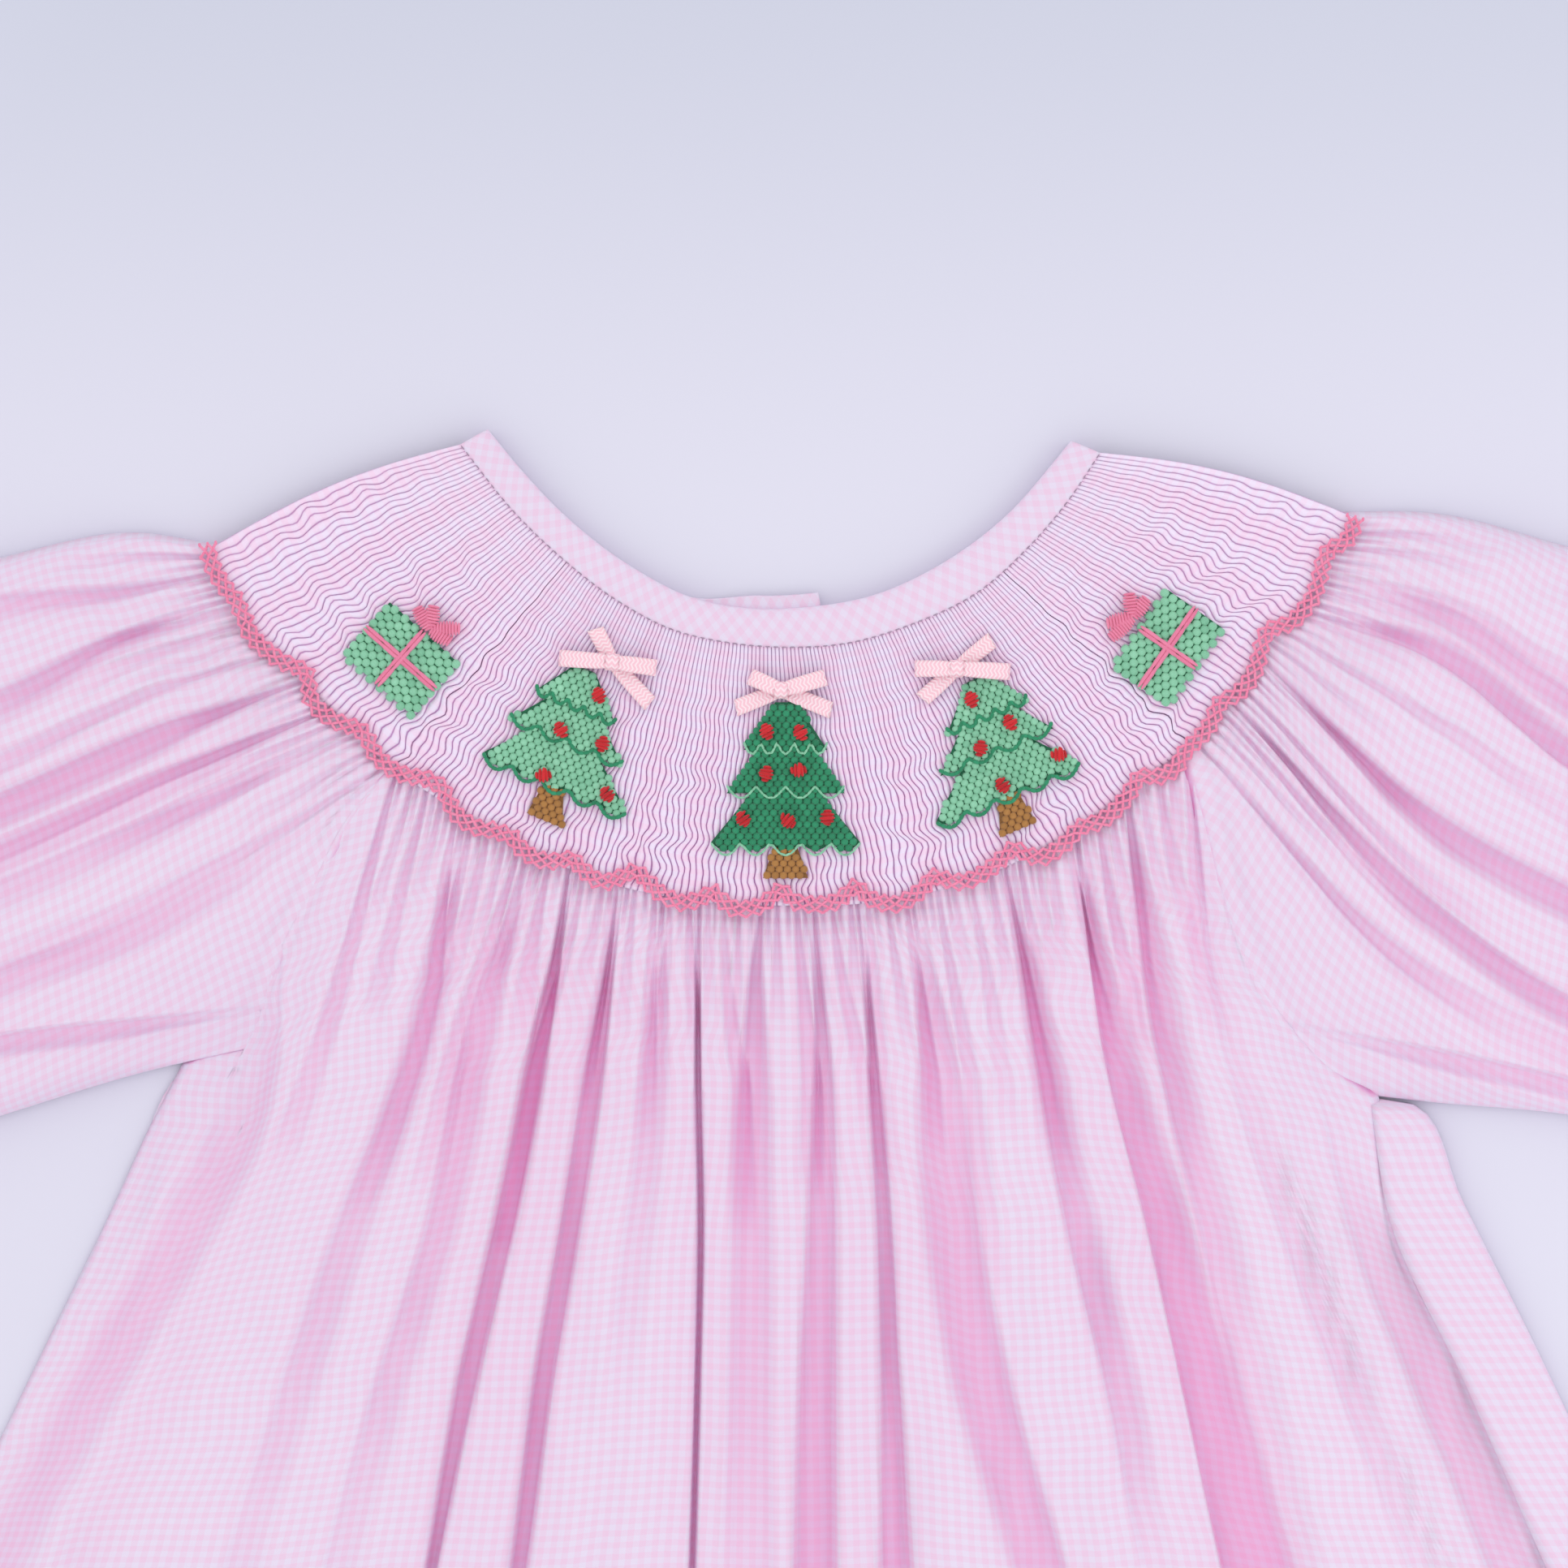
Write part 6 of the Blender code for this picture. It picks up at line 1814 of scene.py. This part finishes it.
class RibbonBow:
    """A small bow of flat grosgrain ribbon: two flat loops, two tails and a knot."""

    width = 4.3
    thick = 0.32
    loop_base = 7.15
    tail_base = 6.95
    loop_rise = 1.25
    cut_slant = 0.7
    knot_base = 7.3
    knot_size = (3.6, 1.95, 1.9)
    across = np.linspace(-0.5, 0.5, 7)

    def build(self, bow: BowShape, finish: Finishes) -> None:
        """Makes the bow."""
        points, places, faces = [], [], []
        count = 0
        for part, uv in [self.arm(bow, number) for number in range(len(bow.ends))] + [self.knot(bow)]:
            faces += Cloth.grid_faces(*part.shape[:2], first=count)
            points.append(part.reshape(-1, 3))
            places.append(uv.reshape(-1, 2))
            count += len(points[-1])
        piece = Cloth.mesh(f"bow_{bow.name}_ribbon", np.vstack(points), faces, np.vstack(places))
        Cloth.thicken(piece, self.thick)
        dress(piece, finish.ribbon, "grosgrain_ribbon", f"bow_{bow.name}")

    def arm(self, bow: BowShape, number: int) -> tuple:
        """Returns the points and cloth places of a loop, out and back, or of a tail with a slanting cut."""
        knot, tip = np.array(bow.knot), np.array(bow.ends[number])
        reach = np.linalg.norm(tip - knot)
        way = (tip - knot) / reach
        loop = number < 2
        share = np.linspace(0.0, 1.0, 15)
        height = (self.loop_base if loop else self.tail_base) + 0.35 * np.sin(np.pi * share)
        path = np.column_stack([knot + way * (share * reach)[:, None], height])
        width = (1.0 - 0.35 * np.exp(-share * 5.0)) * self.width
        if loop:
            upper = path[::-1].copy()
            upper[:, 2] += self.loop_rise * np.sin(np.pi * np.clip(share[::-1], 0.06, 1.0)) ** 0.6 + 0.35
            path = np.vstack([path, upper])
            width = np.concatenate([width, width[::-1]])
        side = np.array([-way[1], way[0], 0.0])
        points = path[:, None] + side * (self.across * width[:, None])[..., None]
        if not loop:
            slant = self.cut_slant if number == 2 else -self.cut_slant
            points[-1, :, :2] += way * (self.across * slant)[:, None]
        return points, self.places(run_along(path))

    def places(self, run: Array) -> Array:
        """Returns the cloth places of a strip of ribbon, by the run along it."""
        return np.dstack(np.meshgrid(self.across * self.width, run))[..., ::-1]

    def knot(self, bow: BowShape) -> tuple:
        """Returns the knot: a short ribbon wrapped over the crossing."""
        ends = np.array(bow.ends)
        way = (ends[1] - ends[0]) / np.linalg.norm(ends[1] - ends[0])
        side = np.array([-way[1], way[0]])
        angle = np.linspace(-0.15, 1.15, 13)[:, None] * math.pi
        long, half, rise = self.knot_size
        out = -np.cos(angle) * half
        wide = self.across * long * (1.0 - 0.12 * np.sin(angle))
        up = self.knot_base + rise * np.maximum(np.sin(angle), -0.2) - 0.35 * (2.0 * self.across) ** 2
        plan = np.array(bow.knot) + side * out[..., None] + way * wide[..., None]
        return np.dstack([plan, up]), self.places(np.linspace(0.0, 6.0, len(angle)))


class Cuff:
    """The wrist band: a doubled strip round the gathered sleeve end."""

    stations = 96
    rows = 9
    stations_apart = 1.8
    wall = 0.9
    squareness = 0.6
    puff = 0.25

    def build(self, side: Side, finish: Finishes) -> bpy.types.Object:
        """Makes the band as a flattened ring with a wall of doubled cloth."""
        angle = 2.0 * np.pi * np.arange(self.stations) / self.stations
        out, rise = (np.sign(wave) * np.abs(wave) ** self.squareness
                     for wave in (np.cos(angle), np.sin(angle)))
        points = np.empty((self.rows, self.stations, 3))
        for row, along in enumerate(np.linspace(0.4, CUFF_DEPTH, self.rows)):
            puff = self.puff * math.sin(math.pi * row / (self.rows - 1)) * np.maximum(rise, 0)
            x, y = cuff_point(0.5 - 0.5 * out, along)
            points[row] = np.column_stack([side.value * x, y, CUFF_TOP / 2 * (1.0 + rise) + puff])
        uv = np.dstack(np.meshgrid(self.stations_apart * np.arange(1, self.stations + 1),
                                   np.linspace(0, CUFF_DEPTH, self.rows)))
        faces = Cloth.grid_faces(self.rows, self.stations, closed=True)
        name = side.named("cuff")
        piece = Cloth.mesh(f"{name}_band", points, faces, uv, np.zeros(points.shape[:2]))
        recalculate(piece)
        Cloth.thicken(piece, self.wall)
        return dress(piece, finish.gingham, "gingham_cotton", name)


class Studio:
    """The paper that the dress lies on, the camera above it and the soft light."""

    frame_width = 405.7
    lens = 85.0
    sensor = 36.0

    def build(self) -> None:
        """Makes the floor, the camera and the lights."""
        bpy.ops.object.select_all(action="DESELECT")
        bpy.ops.mesh.primitive_plane_add(size=6.0, location=(0.0, 0.0, -0.0004))
        floor = bpy.context.object
        floor.name = "backdrop"
        bpy.ops.object.transform_apply(location=True, rotation=True, scale=True)
        floor.data.materials.append(Paper().material())
        bpy.ops.object.camera_add()
        camera = bpy.context.object
        camera.data.lens = self.lens
        camera.data.sensor_width = self.sensor
        camera.data.clip_start = 0.01
        height = self.frame_width / self.sensor * self.lens * MM
        camera.location = (0.0, Cloth.offset_y * MM, height)
        camera.rotation_euler = (0.0, 0.0, 0.0)
        bpy.context.scene.camera = camera
        self.light("key", (-1.1, 1.0, 1.25), 1.0, 50.0, "#FFFCFA")
        self.light("fill", (1.2, -0.6, 1.5), 1.8, 10.5, "#FAFAFF")
        world = bpy.data.worlds.new("studio")
        world.use_nodes = True
        sky = world.node_tree.nodes["Background"].inputs
        sky[0].default_value = hex_colour("#F8F6F8")
        sky[1].default_value = 1.15
        bpy.context.scene.world = world
        bpy.context.scene.view_settings.view_transform = "Standard"

    def light(self, name: str, place: tuple, size: float, watts: float, colour: str) -> None:
        """Adds a soft square light that points at the dress."""
        bpy.ops.object.light_add(type="AREA", location=place)
        lamp = bpy.context.object
        lamp.name = name
        lamp.data.size = size
        lamp.data.energy = watts
        lamp.data.color = hex_colour(colour)[:3]
        way = np.array([0.0, Cloth.offset_y * MM, 0.0]) - np.array(place)
        yaw = math.atan2(way[1], way[0])
        pitch = math.acos(-way[2] / np.linalg.norm(way))
        lamp.rotation_euler = (0.0, -pitch, yaw + math.pi)


class Cut(NamedTuple):
    """What a sheet of cloth was cut to, in metres, before it was sewn."""

    piece: str
    flat: tuple
    held: str
    area: float | None = None
    rests_on: tuple = ()
    with_pieces: tuple = ()


def main() -> None:
    """Builds the dress and the studio, and reports each piece."""
    logging.basicConfig(level=logging.INFO, format="%(message)s")
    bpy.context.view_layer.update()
    Cloth.settle()
    finish = Finishes()
    Studio().build()
    stitcher = Stitcher()
    stitcher.model()
    for piece in (
        FrontSkirt().build(finish),
        *(Smocking(f"{node}_smocking", first, last).build(finish, node) for node, first, last in PLEATED),
        Sleeve(Side.LEFT, SLEEVE_LEFT, 6, raglan_left, SEED + 20).build(finish),
        Sleeve(Side.RIGHT, SLEEVE_RIGHT, 5, raglan_right, SEED + 40).build(finish),
        *(Back(side).build(finish) for side in Side),
        Binding().build(finish, stitcher),
        *(Cuff().build(side, finish) for side in Side),
    ):
        LOG.info("%s: %d faces", piece.name, len(piece.data.polygons))
    CoralRow(stitcher, finish).build()
    for tree in TREES:
        Tree(stitcher, finish).build(tree)
    for gift in GIFTS:
        Gift(stitcher, finish).build(gift)
    for bow in BOWS:
        RibbonBow().build(bow, finish)


if __name__ == "__main__":
    main()
